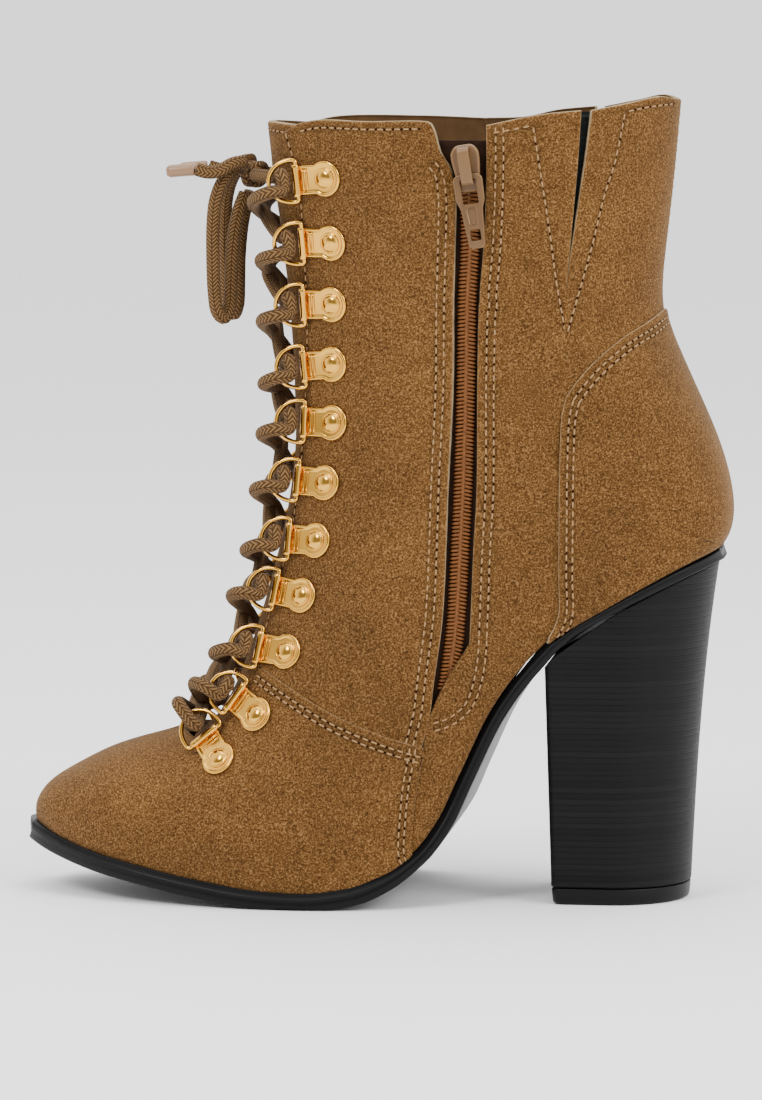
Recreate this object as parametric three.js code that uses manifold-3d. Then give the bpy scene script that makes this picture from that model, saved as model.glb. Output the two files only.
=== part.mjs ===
// Heeled lace-up ankle boot for the right foot.
// Millimetres, +Z up, +X to the toe, +Y to the wearer's left, the side with the zip.
// The origin is the middle of the heel's flat bottom.
import * as THREE from 'three';
import { mergeVertices } from 'three/addons/utils/BufferGeometryUtils.js';
import Module from 'manifold-3d';

const wasm = await Module();
wasm.setup();

// Main sizes
const bootLength = 208; // back of the heel seat to the tip of the toe
const heelRise = 107; // floor to the back of the heel seat
const shaftRise = 131; // heel seat to the collar
const heelSeatBack = -29.2; // X of the back of the heel seat
const ballWidth = 86;
const shaftWidth = 70;

// Walls and clearances
const wall = 1.9; // suede with its lining
const overlayStep = 0.9; // counter and vamp stand out by one layer of suede
const gap = 0.3;
const liningGap = 0.8; // between the wall and what lies against its inside
const goreGap = 1.1; // the same behind the slits, where the wall is flatter
const insoleThickness = 2;
const tongueThickness = 2.2;
const tapeThickness = 0.8;
const goreThickness = 0.9;

// Sole and heel
const foreSole = 5.8;
const waistSole = 4.6;
const seatSole = 4.4;
const toeWelt = 2.3; // how far the sole stands out round the toe
const seatWelt = 0.7;
const soleStep = 0.6; // the lower band of the edge is set in
const topPieceThickness = 4.8;
const heelBottomLength = 40;
const heelBottomHalfWidth = 23.5;
const heelTopHalfWidth = 29;
const breastLean = 3; // the breast leans forward by this from floor to seat

// Lacing
const ringCount = 11;
const plateLength = 10.7;
const plateThickness = 0.9;
const rivetRadius = 3.1;
const barrelReach = 9.4; // rivet to barrel
const barrelRadius = 1.15;
const barrelLength = 9.7;
const ringHeight = 13.6;
const ringReach = 8.2;
const ringWire = 0.62;
const ringLift = 24; // degrees by which the laces lift each ring off the boot
const laceRadius = 2.05;
const laceProud = 2.0; // lace centre over the boot's form at a crossing
const overWire = 4.4; // lace centre over a ring's wire
const underWire = 4.6; // lace centre behind a ring's wire
const inHole = 1; // lace centre over the ring's plane where it turns
const holeAside = 2.1; // lace centre from the ring's middle where it turns
const turnAside = 1.5;
const barOverlap = 1; // the two halves of the lace run into each other at the lowest bar

// Zip
const coilWidth = 5.6;
const coilHeight = 1.7;
const tapeWidth = 17;
const sliderLength = 14;
const sliderWidth = 8.4;
const sliderThickness = 2.2;
const bridgeWidth = 3.4;
const bridgeClear = 2.6; // room under the bridge
const bridgeThickness = 1.2;
const pullLength = 22;
const pullTopWidth = 8.8;
const pullBottomWidth = 4.8;
const pullThickness = 1.4;
const pullBar = 1.6;
const eyeLength = 7.2;
const eyeWidth = 4.6;

const bridgeLow = -4.6; // ends of the bridge along the zip, from the slider's middle
const bridgeHigh = 6.4;
const bridgeLeg = 1.2;
const sliderPlace = 0.922; // share of the boot's height

// Bow, with points chosen by hand
const knotPlace = [111.6, 0, 216.2];
const knotSize = [9, 13, 8.4];
const loopPath = [
  [115.9, 4.6, 218.9], [118.4, 6.7, 216.8], [120.6, 9.2, 213.2], [122.0, 11.2, 208.5], [122.6, 12.2, 201.5],
  [122.6, 12.6, 191], [122.2, 12.6, 181], [121.4, 12, 175.6], [119.7, 10.2, 173.6], [118.3, 8.6, 176.4],
  [117.9, 8, 183], [117.6, 7.6, 192], [116.6, 7, 201], [115.2, 6.2, 207], [113.8, 5.2, 210.6],
];
const endPath = [
  [113.6, 7.6, 220.2], [117.0, 10.2, 219.6], [120.6, 11.8, 217.6], [124.1, 12.4, 217.2], [127.4, 12.5, 218.0],
];
const agletPath = [[128.0, 12.5, 218.0], [132, 12.5, 217.7], [136.4, 12.4, 217.3]];
const agletRadius = 1.9;

const bootHeight = heelRise + shaftRise;
const along = (share) => heelSeatBack + share * bootLength;
const up = (share) => share * bootHeight;

// The heel seat, shank and forefoot: the line where upper and sole meet, with the
// half width on each side. x is a share of the length, z of the heel's rise and the
// widths of the ball's width.
const soleRows = [
  { x: 0.0, z: 1.0, inner: 0.32, outer: 0.32 },
  { x: 0.052, z: 0.954, inner: 0.33, outer: 0.33 },
  { x: 0.142, z: 0.861, inner: 0.34, outer: 0.342 },
  { x: 0.234, z: 0.75, inner: 0.33, outer: 0.335 },
  { x: 0.266, z: 0.688, inner: 0.318, outer: 0.33 },
  { x: 0.295, z: 0.619, inner: 0.305, outer: 0.325 },
  { x: 0.326, z: 0.527, inner: 0.3, outer: 0.325 },
  { x: 0.367, z: 0.357, inner: 0.325, outer: 0.35 },
  { x: 0.394, z: 0.241, inner: 0.36, outer: 0.385 },
  { x: 0.425, z: 0.159, inner: 0.41, outer: 0.425 },
  { x: 0.472, z: 0.097, inner: 0.46, outer: 0.465 },
  { x: 0.525, z: 0.061, inner: 0.485, outer: 0.485 },
  { x: 0.585, z: 0.048, inner: 0.494, outer: 0.494 },
  { x: 0.643, z: 0.053, inner: 0.49, outer: 0.485 },
  { x: 0.746, z: 0.08, inner: 0.452, outer: 0.44 },
  { x: 0.828, z: 0.109, inner: 0.4, outer: 0.375 },
  { x: 0.884, z: 0.129, inner: 0.362, outer: 0.33 },
  { x: 0.951, z: 0.161, inner: 0.31, outer: 0.28 },
  { x: 1.0, z: 0.194, inner: 0.28, outer: 0.25 },
];
const toeTip = 0.9975; // where the last's own width comes to nothing at the toe
const heelRounding = 0.125; // shares of the length over which the outline's ends round
const toeRounding = 0.2;

// The last: a fan of sections from the toe to the collar. Each runs from a base point,
// on the sole line or up the back, to a front point on the vamp or the shaft's front.
// x is a share of the length, z of the height, widths of the ball's width; rise is where
// the section is widest, low and high are the fullness below and above that place.
const lastRows = [
  { x: 0.992, z: 0.087, frontX: 0.9965, frontZ: 0.104, inner: 0.3, outer: 0.28, rise: 0.45, low: 2, high: 2 },
  { x: 0.983, z: 0.085, frontX: 0.9935, frontZ: 0.113, inner: 0.31, outer: 0.29, rise: 0.42, low: 2, high: 2.1 },
  { x: 0.962, z: 0.076, frontX: 0.976, frontZ: 0.132, inner: 0.33, outer: 0.305, rise: 0.38, low: 2, high: 2.15 },
  { x: 0.929, z: 0.067, frontX: 0.938, frontZ: 0.153, inner: 0.35, outer: 0.325, rise: 0.34, low: 2, high: 2.15 },
  { x: 0.876, z: 0.058, frontX: 0.887, frontZ: 0.175, inner: 0.384, outer: 0.355, rise: 0.32, low: 2, high: 2.1 },
  { x: 0.813, z: 0.048, frontX: 0.832, frontZ: 0.19, inner: 0.425, outer: 0.402, rise: 0.3, low: 2, high: 2.05 },
  { x: 0.741, z: 0.038, frontX: 0.78, frontZ: 0.205, inner: 0.468, outer: 0.458, rise: 0.29, low: 2, high: 2 },
  { x: 0.66, z: 0.028, frontX: 0.742, frontZ: 0.231, inner: 0.498, outer: 0.495, rise: 0.28, low: 2, high: 1.95 },
  { x: 0.573, z: 0.025, frontX: 0.712, frontZ: 0.277, inner: 0.508, outer: 0.508, rise: 0.28, low: 2, high: 1.88 },
  { x: 0.477, z: 0.043, frontX: 0.683, frontZ: 0.349, inner: 0.485, outer: 0.49, rise: 0.3, low: 2, high: 1.85 },
  { x: 0.395, z: 0.107, frontX: 0.657, frontZ: 0.433, inner: 0.436, outer: 0.45, rise: 0.33, low: 2, high: 1.88 },
  { x: 0.323, z: 0.24, frontX: 0.639, frontZ: 0.508, inner: 0.4, outer: 0.415, rise: 0.37, low: 2, high: 1.92 },
  { x: 0.217, z: 0.345, frontX: 0.63, frontZ: 0.578, inner: 0.384, outer: 0.392, rise: 0.41, low: 2, high: 1.96 },
  { x: 0.102, z: 0.407, frontX: 0.631, frontZ: 0.63, inner: 0.38, outer: 0.384, rise: 0.43, low: 1.95, high: 2 },
  { x: 0.035, z: 0.436, frontX: 0.633, frontZ: 0.672, inner: 0.377, outer: 0.38, rise: 0.44, low: 2.05, high: 2 },
  { x: 0.0, z: 0.45, frontX: 0.637, frontZ: 0.71, inner: 0.374, outer: 0.376, rise: 0.45, low: 3.1, high: 2 },
  { x: -0.013, z: 0.492, frontX: 0.641, frontZ: 0.756, inner: 0.372, outer: 0.373, rise: 0.46, low: 3.1, high: 2 },
  { x: 0.005, z: 0.563, frontX: 0.647, frontZ: 0.803, inner: 0.371, outer: 0.371, rise: 0.46, low: 2.9, high: 2 },
  { x: 0.051, z: 0.66, frontX: 0.654, frontZ: 0.853, inner: 0.373, outer: 0.373, rise: 0.47, low: 2.55, high: 2 },
  { x: 0.084, z: 0.739, frontX: 0.661, frontZ: 0.895, inner: 0.38, outer: 0.38, rise: 0.47, low: 2.2, high: 2 },
  { x: 0.081, z: 0.828, frontX: 0.665, frontZ: 0.935, inner: 0.39, outer: 0.39, rise: 0.47, low: 2.1, high: 2 },
  { x: 0.068, z: 0.933, frontX: 0.67, frontZ: 0.971, inner: 0.402, outer: 0.402, rise: 0.47, low: 2, high: 2 },
  { x: 0.058, z: 1.034, frontX: 0.676, frontZ: 1.017, inner: 0.41, outer: 0.41, rise: 0.47, low: 2, high: 2 },
];
const widest = 0.42; // the share of each half section that lies below its widest place
const tipRow = -0.5; // the last closes half a row before the first
const heelRow = 15; // the row whose base is the back of the heel seat
const shaftRow = 19; // from here up the widths follow the shaft's own width

// Outlines seen from the side, as shares of length and height
const counterLine = [
  [-0.1, 0.745], [0.079, 0.742], [0.099, 0.731], [0.136, 0.71], [0.175, 0.68], [0.194, 0.661],
  [0.211, 0.64], [0.217, 0.616], [0.22, 0.552], [0.221, 0.42], [0.222, 0.367], [0.241, 0.25], [-0.1, 0.25],
];
const vampLine = [
  [0.72, 0.33], [0.684, 0.313], [0.652, 0.294], [0.608, 0.274], [0.563, 0.252], [0.526, 0.236],
  [0.484, 0.221], [0.434, 0.206], [0.412, 0.2], [0.415, 0.185], [0.422, 0.151], [0.426, 0.118],
  [0.43, 0.072], [0.43, -0.05], [1.1, -0.05], [1.1, 0.33],
];
const throatLine = [
  [0.626, 1.1], [0.626, 0.962], [0.607, 0.903], [0.601, 0.828], [0.598, 0.75], [0.598, 0.674],
  [0.601, 0.601], [0.608, 0.527], [0.62, 0.454], [0.64, 0.391], [0.662, 0.317], [0.688, 0.256],
  [0.72, 0.212], [0.737, 0.197], [0.768, 0.197], [0.78, 0.26], [0.9, 1.1],
];
const zipSlotLine = [
  [0.4, 1.1], [0.398, 0.966], [0.388, 0.937], [0.375, 0.92], [0.369, 0.889], [0.37, 0.828],
  [0.373, 0.748], [0.374, 0.66], [0.38, 0.523], [0.382, 0.454], [0.387, 0.361], [0.399, 0.279],
  [0.404, 0.242], [0.382, 0.248], [0.364, 0.261], [0.356, 0.279], [0.349, 0.312], [0.346, 0.361],
  [0.342, 0.454], [0.338, 0.523], [0.338, 0.66], [0.335, 0.756], [0.328, 0.831], [0.324, 0.925],
  [0.324, 0.961], [0.324, 1.1],
];
const slitLine = [
  [0.192, 1.1], [0.192, 0.992], [0.197, 0.927], [0.203, 0.866], [0.208, 0.818], [0.213, 0.763],
  [0.195, 0.878], [0.185, 0.937], [0.177, 0.992], [0.177, 1.1],
];
const collarLine = [
  [0.75, 0.979], [0.679, 0.979], [0.621, 0.977], [0.416, 0.979], [0.38, 0.974], [0.323, 0.974],
  [0.25, 0.987], [0.171, 0.993], [0.125, 1.002], [0.083, 1.008], [0.035, 1.002], [-0.1, 1.0],
];
const zipRows = [
  { x: 0.361, z: 0.967 }, { x: 0.352, z: 0.93 }, { x: 0.349, z: 0.83 }, { x: 0.354, z: 0.75 },
  { x: 0.356, z: 0.66 }, { x: 0.359, z: 0.523 }, { x: 0.362, z: 0.454 }, { x: 0.367, z: 0.361 },
  { x: 0.376, z: 0.29 }, { x: 0.384, z: 0.255 },
];

// Rivets of the lace rings from the top down, with the place of each barrel
const ringRows = [
  { x: 0.558, z: 0.907, barrelX: 0.6, barrelZ: 0.904 },
  { x: 0.551, z: 0.827, barrelX: 0.593, barrelZ: 0.827 },
  { x: 0.551, z: 0.75, barrelX: 0.59, barrelZ: 0.749 },
  { x: 0.551, z: 0.675, barrelX: 0.59, barrelZ: 0.671 },
  { x: 0.55, z: 0.602, barrelX: 0.594, barrelZ: 0.601 },
  { x: 0.56, z: 0.527, barrelX: 0.6, barrelZ: 0.527 },
  { x: 0.572, z: 0.455, barrelX: 0.612, barrelZ: 0.453 },
  { x: 0.592, z: 0.386, barrelX: 0.632, barrelZ: 0.389 },
  { x: 0.613, z: 0.316, barrelX: 0.654, barrelZ: 0.316 },
  { x: 0.652, z: 0.237, barrelX: 0.679, barrelZ: 0.252 },
  { x: 0.705, z: 0.181, barrelX: 0.725, barrelZ: 0.201 },
];

// Smooth curve through a column of a table, without overshoot between rows
function columnCurve(keys, values) {
  const last = keys.length - 1;
  const slope = [];
  for (let i = 0; i < last; i++) slope.push((values[i + 1] - values[i]) / (keys[i + 1] - keys[i]));
  const tangent = [slope[0]];
  for (let i = 1; i < last; i++) {
    const before = slope[i - 1];
    const after = slope[i];
    tangent.push(before * after <= 0 ? 0 : (2 * before * after) / (before + after));
  }
  tangent.push(slope[last - 1]);
  return (key) => {
    let i = 0;
    while (i < last - 1 && key > keys[i + 1]) i++;
    const step = keys[i + 1] - keys[i];
    const s = Math.min(1, Math.max(0, (key - keys[i]) / step));
    const stay = (1 + 2 * s) * (1 - s) * (1 - s);
    const reach = s * s * (3 - 2 * s);
    const leave = s * (1 - s) * (1 - s) * step;
    const arrive = s * s * (s - 1) * step;
    return stay * values[i] + reach * values[i + 1] + leave * tangent[i] + arrive * tangent[i + 1];
  };
}

// Smooth curve through evenly numbered rows: a cubic with continuous curvature
function rowCurve(values) {
  const count = values.length;
  const bend = new Array(count).fill(0);
  const upper = new Array(count).fill(0);
  const right = new Array(count).fill(0);
  for (let i = 1; i < count - 1; i++) {
    const target = 6 * (values[i + 1] - 2 * values[i] + values[i - 1]);
    const pivot = 4 - upper[i - 1];
    upper[i] = 1 / pivot;
    right[i] = (target - right[i - 1]) / pivot;
  }
  for (let i = count - 2; i > 0; i--) bend[i] = right[i] - upper[i] * bend[i + 1];
  return (t) => {
    const i = Math.min(count - 2, Math.max(0, Math.floor(t)));
    const b = t - i;
    const a = 1 - b;
    const curve = ((a * a * a - a) * bend[i] + (b * b * b - b) * bend[i + 1]) / 6;
    return a * values[i] + b * values[i + 1] + curve;
  };
}

const soleKeys = soleRows.map((row) => row.x);
const soleHeight = columnCurve(soleKeys, soleRows.map((row) => row.z));
const soleHalf = {
  inner: columnCurve(soleKeys, soleRows.map((row) => row.inner)),
  outer: columnCurve(soleKeys, soleRows.map((row) => row.outer)),
};
const soleZ = (x) => heelRise * soleHeight((x - heelSeatBack) / bootLength);

// Rounds a width to nothing at an end: a quarter circle over the given share
function endRound(share, over) {
  const q = Math.min(1, Math.max(0, share / over));
  return Math.sqrt(Math.max(0, 1 - (1 - q) * (1 - q)));
}

// Half width of the footprint at x, set in by inset all round
function footprint(x, side, inset = 0) {
  const share = (x - heelSeatBack - inset) / (bootLength - 2 * inset);
  const width = ballWidth * soleHalf[side](Math.min(1, Math.max(0, share))) - inset;
  return width * endRound(share, heelRounding) * endRound(1 - share, toeRounding);
}

const lastCurves = {};
for (const name of Object.keys(lastRows[0])) lastCurves[name] = rowCurve(lastRows.map((row) => row[name]));
const topRow = lastRows.length - 1;

function station(t) {
  const onSole = t <= heelRow;
  const x = onSole ? Math.max(0, lastCurves.x(t)) : lastCurves.x(t);
  const baseX = along(x);
  const toe = endRound(toeTip - x, toeRounding);
  const shaft = Math.min(1, Math.max(0, (t - heelRow) / (shaftRow - heelRow)));
  const widthUnit = ballWidth + shaft * (shaftWidth / 0.814 - ballWidth);
  return {
    baseX,
    baseZ: onSole ? soleZ(baseX) : up(lastCurves.z(t)),
    frontX: along(lastCurves.frontX(t)),
    frontZ: up(lastCurves.frontZ(t)),
    inner: widthUnit * lastCurves.inner(t) * toe,
    outer: widthUnit * lastCurves.outer(t) * toe,
    feather: { inner: onSole ? footprint(baseX, 'inner') : 0, outer: onSole ? footprint(baseX, 'outer') : 0 },
    rise: lastCurves.rise(t),
    low: lastCurves.low(t),
    high: lastCurves.high(t),
  };
}

// Point of the last at row t, v from the sole (0) to the front line (1), on one side
function lastPoint(t, v, side) {
  const s = station(t);
  const wide = Math.max(s[side], s.feather[side]);
  const lower = v < widest;
  const angle = (Math.PI / 2) * (lower ? v / widest : (v - widest) / (1 - widest));
  const power = 2 / (lower ? s.low : s.high);
  const sin = Math.pow(Math.max(0, Math.sin(angle)), power);
  const cos = Math.pow(Math.max(0, Math.cos(angle)), power);
  const share = lower ? s.rise * (1 - cos) : s.rise + (1 - s.rise) * sin;
  const half = lower ? s.feather[side] + (wide - s.feather[side]) * sin : wide * cos;
  const x = s.baseX + (s.frontX - s.baseX) * share;
  const z = s.baseZ + (s.frontZ - s.baseZ) * share;
  return new THREE.Vector3(x, side === 'inner' ? half : -half, z);
}

function lastNormal(t, v, side) {
  const dt = 0.03;
  const dv = 0.01;
  const alongT = lastPoint(Math.min(topRow, t + dt), v, side).sub(lastPoint(Math.max(tipRow, t - dt), v, side));
  const alongV = lastPoint(t, Math.min(1, v + dv), side).sub(lastPoint(t, Math.max(0, v - dv), side));
  const normal = alongT.cross(alongV);
  if (side === 'outer') normal.negate();
  const onMiddle = v > 1 - 1e-6 || (v < 1e-6 && t >= heelRow);
  if (onMiddle) normal.y = 0;
  return normal.normalize();
}

const offsetPoint = (t, v, side, out) =>
  lastPoint(t, v, side).addScaledVector(lastNormal(t, v, side), out);

// The row and place on the last that lie at x, z when seen from one side
function placeOn(x, z, side) {
  let best = { t: 1, v: 0.5, error: Infinity };
  for (let t = 0.5; t < topRow; t += 0.5) {
    for (let v = 0.04; v < 1; v += 0.06) {
      const p = lastPoint(t, v, side);
      const error = Math.hypot(p.x - x, p.z - z);
      if (error < best.error) best = { t, v, error };
    }
  }
  let { t, v } = best;
  for (let turn = 0; turn < 14; turn++) {
    const p = lastPoint(t, v, side);
    const pt = lastPoint(Math.min(topRow, t + 0.01), v, side).sub(p).divideScalar(0.01);
    const pv = lastPoint(t, Math.min(1, v + 0.001), side).sub(p).divideScalar(0.001);
    const det = pt.x * pv.z - pt.z * pv.x;
    if (Math.abs(det) < 1e-9) break;
    const dx = x - p.x;
    const dz = z - p.z;
    const moveT = (dx * pv.z - dz * pv.x) / det;
    const moveV = (pt.x * dz - pt.z * dx) / det;
    t = Math.min(topRow - 0.02, Math.max(0.02, t + Math.max(-0.6, Math.min(0.6, moveT))));
    v = Math.min(0.998, Math.max(0.002, v + Math.max(-0.08, Math.min(0.08, moveV))));
  }
  return { t, v };
}

function onBoot(x, z, side, out) {
  const place = placeOn(x, z, side);
  return offsetPoint(place.t, place.v, side, out);
}

// A closed mesh as a solid, and a solid as a geometry
function solid(geometry) {
  let bare = geometry.clone();
  for (const name of Object.keys(bare.attributes)) if (name !== 'position') bare.deleteAttribute(name);
  bare = mergeVertices(bare, 1e-4);
  const index = bare.index.array;
  const triVerts = [];
  for (let i = 0; i < index.length; i += 3) {
    const [a, b, c] = [index[i], index[i + 1], index[i + 2]];
    if (a !== b && b !== c && c !== a) triVerts.push(a, b, c);
  }
  return new wasm.Manifold(new wasm.Mesh({
    numProp: 3,
    vertProperties: new Float32Array(bare.attributes.position.array),
    triVerts: new Uint32Array(triVerts),
  }));
}

function geometryOf(body) {
  const mesh = body.getMesh();
  const geometry = new THREE.BufferGeometry();
  geometry.setAttribute('position', new THREE.BufferAttribute(new Float32Array(mesh.vertProperties), 3));
  geometry.setIndex(new THREE.BufferAttribute(new Uint32Array(mesh.triVerts), 1));
  const flat = geometry.toNonIndexed();
  flat.computeVertexNormals();
  return flat;
}

// Triangles from rings of points, each ring closed, with flat ends
function ringsGeometry(rings) {
  const count = rings[0].length;
  const points = rings.flat();
  const index = [];
  for (let i = 0; i + 1 < rings.length; i++) {
    for (let j = 0; j < count; j++) {
      const k = (j + 1) % count;
      const [a, b] = [i * count + j, i * count + k];
      const [c, d] = [a + count, b + count];
      index.push(a, b, d, a, d, c);
    }
  }
  for (const [end, flip] of [[0, true], [rings.length - 1, false]]) {
    const centre = new THREE.Vector3();
    for (const p of rings[end]) centre.addScaledVector(p, 1 / count);
    points.push(centre);
    const mid = points.length - 1;
    for (let j = 0; j < count; j++) {
      const [a, b] = [end * count + j, end * count + ((j + 1) % count)];
      index.push(...(flip ? [mid, b, a] : [mid, a, b]));
    }
  }
  const geometry = new THREE.BufferGeometry();
  geometry.setAttribute('position', new THREE.Float32BufferAttribute(points.flatMap((p) => p.toArray()), 3));
  geometry.setIndex(index);
  return outward(geometry);
}

// Turns a closed geometry so that its faces point out
function outward(geometry) {
  const p = geometry.attributes.position;
  const index = geometry.index.array;
  let volume = 0;
  const [a, b, c] = [new THREE.Vector3(), new THREE.Vector3(), new THREE.Vector3()];
  for (let i = 0; i < index.length; i += 3) {
    a.fromBufferAttribute(p, index[i]);
    b.fromBufferAttribute(p, index[i + 1]);
    c.fromBufferAttribute(p, index[i + 2]);
    volume += a.dot(b.cross(c));
  }
  if (volume < 0) {
    for (let i = 0; i < index.length; i += 3) [index[i + 1], index[i + 2]] = [index[i + 2], index[i + 1]];
  }
  return geometry;
}

// A thick sheet from two grids of points with the same rows and columns
function sheetGeometry(front, back) {
  const rows = front.length;
  const columns = front[0].length;
  const points = [...front.flat(), ...back.flat()];
  const under = rows * columns;
  const at = (i, j) => i * columns + j;
  const index = [];
  for (let i = 0; i + 1 < rows; i++) {
    for (let j = 0; j + 1 < columns; j++) {
      const [a, b, c, d] = [at(i, j), at(i, j + 1), at(i + 1, j + 1), at(i + 1, j)];
      index.push(a, b, c, a, c, d, a + under, c + under, b + under, a + under, d + under, c + under);
    }
  }
  const rim = [];
  for (let j = 0; j + 1 < columns; j++) rim.push(at(0, j));
  for (let i = 0; i + 1 < rows; i++) rim.push(at(i, columns - 1));
  for (let j = columns - 1; j > 0; j--) rim.push(at(rows - 1, j));
  for (let i = rows - 1; i > 0; i--) rim.push(at(i, 0));
  rim.forEach((a, place) => {
    const b = rim[(place + 1) % rim.length];
    index.push(b, a, a + under, b, a + under, b + under);
  });
  const geometry = new THREE.BufferGeometry();
  geometry.setAttribute('position', new THREE.Float32BufferAttribute(points.flatMap((p) => p.toArray()), 3));
  geometry.setIndex(index);
  return outward(geometry);
}

// A side view outline carried across the boot from one Y to another
function acrossBoot(outline, fromY, toY) {
  const shape = new THREE.Shape(outline.map(([x, z]) => new THREE.Vector2(x, z)));
  const geometry = new THREE.ExtrudeGeometry(shape, { depth: toY - fromY, bevelEnabled: false });
  geometry.rotateX(Math.PI / 2);
  geometry.translate(0, toY, 0);
  return solid(geometry);
}
const fromShares = (line) => line.map(([x, z]) => [along(x), up(z)]);
const farAside = ballWidth; // past every side of the boot

function range(from, to, steps) {
  return Array.from({ length: steps + 1 }, (_, i) => from + ((to - from) * i) / steps);
}

// Rows used for the solids: closer together at the toe and at the back of the heel seat
const formRows = [
  tipRow, 0, 0.6, 1.2, 1.9, 2.7, 3.6, 4.5, 5.4, 6.2, 7, 7.8, 8.6, 9.4, 10.2, 11, 11.8, 12.6, 13.4,
  14.1, 14.6, 14.88, 15, 15.5, 16.2, 17, 17.8, 18.6, 19.5, 20.6, 22,
];
const halfSteps = [0, 0.1, 0.21, 0.32, 0.42, 0.52, 0.62, 0.71, 0.8, 0.88, 0.95, 1];
const cavityFirst = 4; // the wall closes round the toe before the cavity starts

function form(out, firstRow = 0) {
  const rings = formRows.slice(firstRow).map((t) => {
    const inner = halfSteps.map((v) => offsetPoint(t, v, 'inner', out));
    const outer = halfSteps.map((v) => offsetPoint(t, v, 'outer', out)).reverse();
    return [...inner, ...outer.slice(1)];
  });
  return solid(ringsGeometry(rings));
}

// Everything under the sole line, lowered by drop along its normal
function solePath(drop) {
  const path = [];
  for (const share of soleStations) {
    const x = along(share);
    const slope = (soleZ(x + 0.5) - soleZ(x - 0.5)) / 1;
    const length = Math.hypot(1, slope);
    path.push([x + (slope * drop) / length, soleZ(x) - drop / length]);
  }
  return path;
}
const soleStations = [
  0, 0.012, 0.035, 0.07, 0.12, 0.18, 0.235, 0.27, 0.3, 0.33, 0.355, 0.38, 0.4, 0.42, 0.445, 0.48, 0.525,
  0.585, 0.65, 0.72, 0.79, 0.85, 0.9, 0.94, 0.965, 0.982, 0.993, 1,
];
const overshoot = 40;

function underSole(drop) {
  const path = solePath(drop);
  const first = path[0];
  const end = path[path.length - 1];
  const outline = [
    [first[0] - overshoot, first[1] + overshoot * 0.4], ...path,
    [end[0] + overshoot, end[1] + overshoot * 0.2], [end[0] + overshoot, -overshoot],
    [first[0] - overshoot, -overshoot],
  ];
  return acrossBoot(outline, -farAside, farAside);
}

// The opening underneath, that the insole fills
function footprintBlock(inset, from, to) {
  const rings = soleStations.map((share) => {
    const x = along(0) + inset + share * (bootLength - 2 * inset);
    const inner = Math.max(0.4, footprint(x, 'inner', inset));
    const outer = Math.max(0.4, footprint(x, 'outer', inset));
    const z = soleZ(x);
    return [
      new THREE.Vector3(x, inner, z + from), new THREE.Vector3(x, inner, z + to),
      new THREE.Vector3(x, -outer, z + to), new THREE.Vector3(x, -outer, z + from),
    ];
  });
  return ringsGeometry(rings);
}

function upperBody() {
  const outer = form(0);
  const overlays = acrossBoot(fromShares(counterLine), -farAside, farAside)
    .add(acrossBoot(fromShares(vampLine), -farAside, farAside));
  const raised = form(overlayStep).intersect(overlays);
  const aboveCollar = acrossBoot(
    [...fromShares(collarLine), [along(-0.1), up(1.3)], [along(0.75), up(1.3)]], -farAside, farAside);
  return outer.add(raised)
    .subtract(form(-wall, cavityFirst))
    .subtract(solid(footprintBlock(wall, -3, 5)))
    .subtract(underSole(0))
    .subtract(aboveCollar)
    .subtract(acrossBoot(fromShares(throatLine), -farAside, farAside))
    .subtract(acrossBoot(fromShares(zipSlotLine), 0, farAside))
    .subtract(acrossBoot(fromShares(slitLine), -farAside, farAside));
}

// Outsole: one rubber unit, with a set-in lower band round its edge
const soleDepth = columnCurve(
  [0, 0.2, 0.27, 0.42, 0.5, 1], [seatSole, seatSole - 1, waistSole, waistSole, foreSole, foreSole]);
const soleWelt = columnCurve([0, 0.3, 0.45, 0.6, 1], [seatWelt, seatWelt, 1.4, 1.9, toeWelt]);

const treadFlat = 0.15; // the tread is flat wherever it would rise less than this from the floor
function outsoleBody() {
  const rings = soleStations.map((share) => {
    const welt = soleWelt(share);
    const x = along(0) - welt + share * (bootLength + 2 * welt);
    const half = { inner: footprint(x, 'inner', -welt), outer: footprint(x, 'outer', -welt) };
    const slope = soleZ(x + 0.5) - soleZ(x - 0.5);
    const length = Math.hypot(1, slope);
    const depth = soleDepth(share);
    const at = (down, inset, side) => {
      const y = Math.max(0.5, half[side] - inset);
      const above = soleZ(x) - down / length;
      const z = above < treadFlat ? 0 : above;
      return new THREE.Vector3(x + (slope * down) / length, side === 'inner' ? y : -y, z);
    };
    const bands = [[gap, 0], [depth * 0.52, 0], [depth * 0.58, soleStep], [depth, soleStep + 0.3]];
    return [
      ...bands.map(([down, inset]) => at(down, inset, 'inner')),
      ...bands.map(([down, inset]) => at(down, inset, 'outer')).reverse(),
    ];
  });
  return solid(ringsGeometry(rings));
}

// Heel: a D seen from above, flat at the breast, with its top cut to the sole
function heelSection(z, shrink) {
  const share = z / heelRise;
  const back = -heelBottomLength / 2 - 0.4 - (0.5 * share + 0.45 * share ** 3) * 9.6 + shrink;
  const breast = heelBottomLength / 2 - 0.4 + breastLean * share - shrink;
  const half = heelBottomHalfWidth + (heelTopHalfWidth - heelBottomHalfWidth) * share - shrink;
  const points = [new THREE.Vector3(breast, -half, z), new THREE.Vector3(breast, half, z)];
  const middle = back + half;
  const arcSteps = 12;
  for (let i = 0; i <= arcSteps; i++) {
    const angle = Math.PI / 2 + (Math.PI * i) / arcSteps;
    points.push(new THREE.Vector3(middle + half * Math.cos(angle), half * Math.sin(angle), z));
  }
  return points;
}

const heelFloors = [0.05, 0.2, 0.4, 0.6, 0.8, 1.02];
function heelBody() {
  const heights = [topPieceThickness + gap, ...heelFloors.slice(1).map((share) => share * heelRise)];
  const block = solid(ringsGeometry(heights.map((z) => heelSection(z, 0))));
  const soleUnder = acrossBoot(soleUnderside(gap), -farAside, farAside);
  return block.subtract(soleUnder);
}

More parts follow.
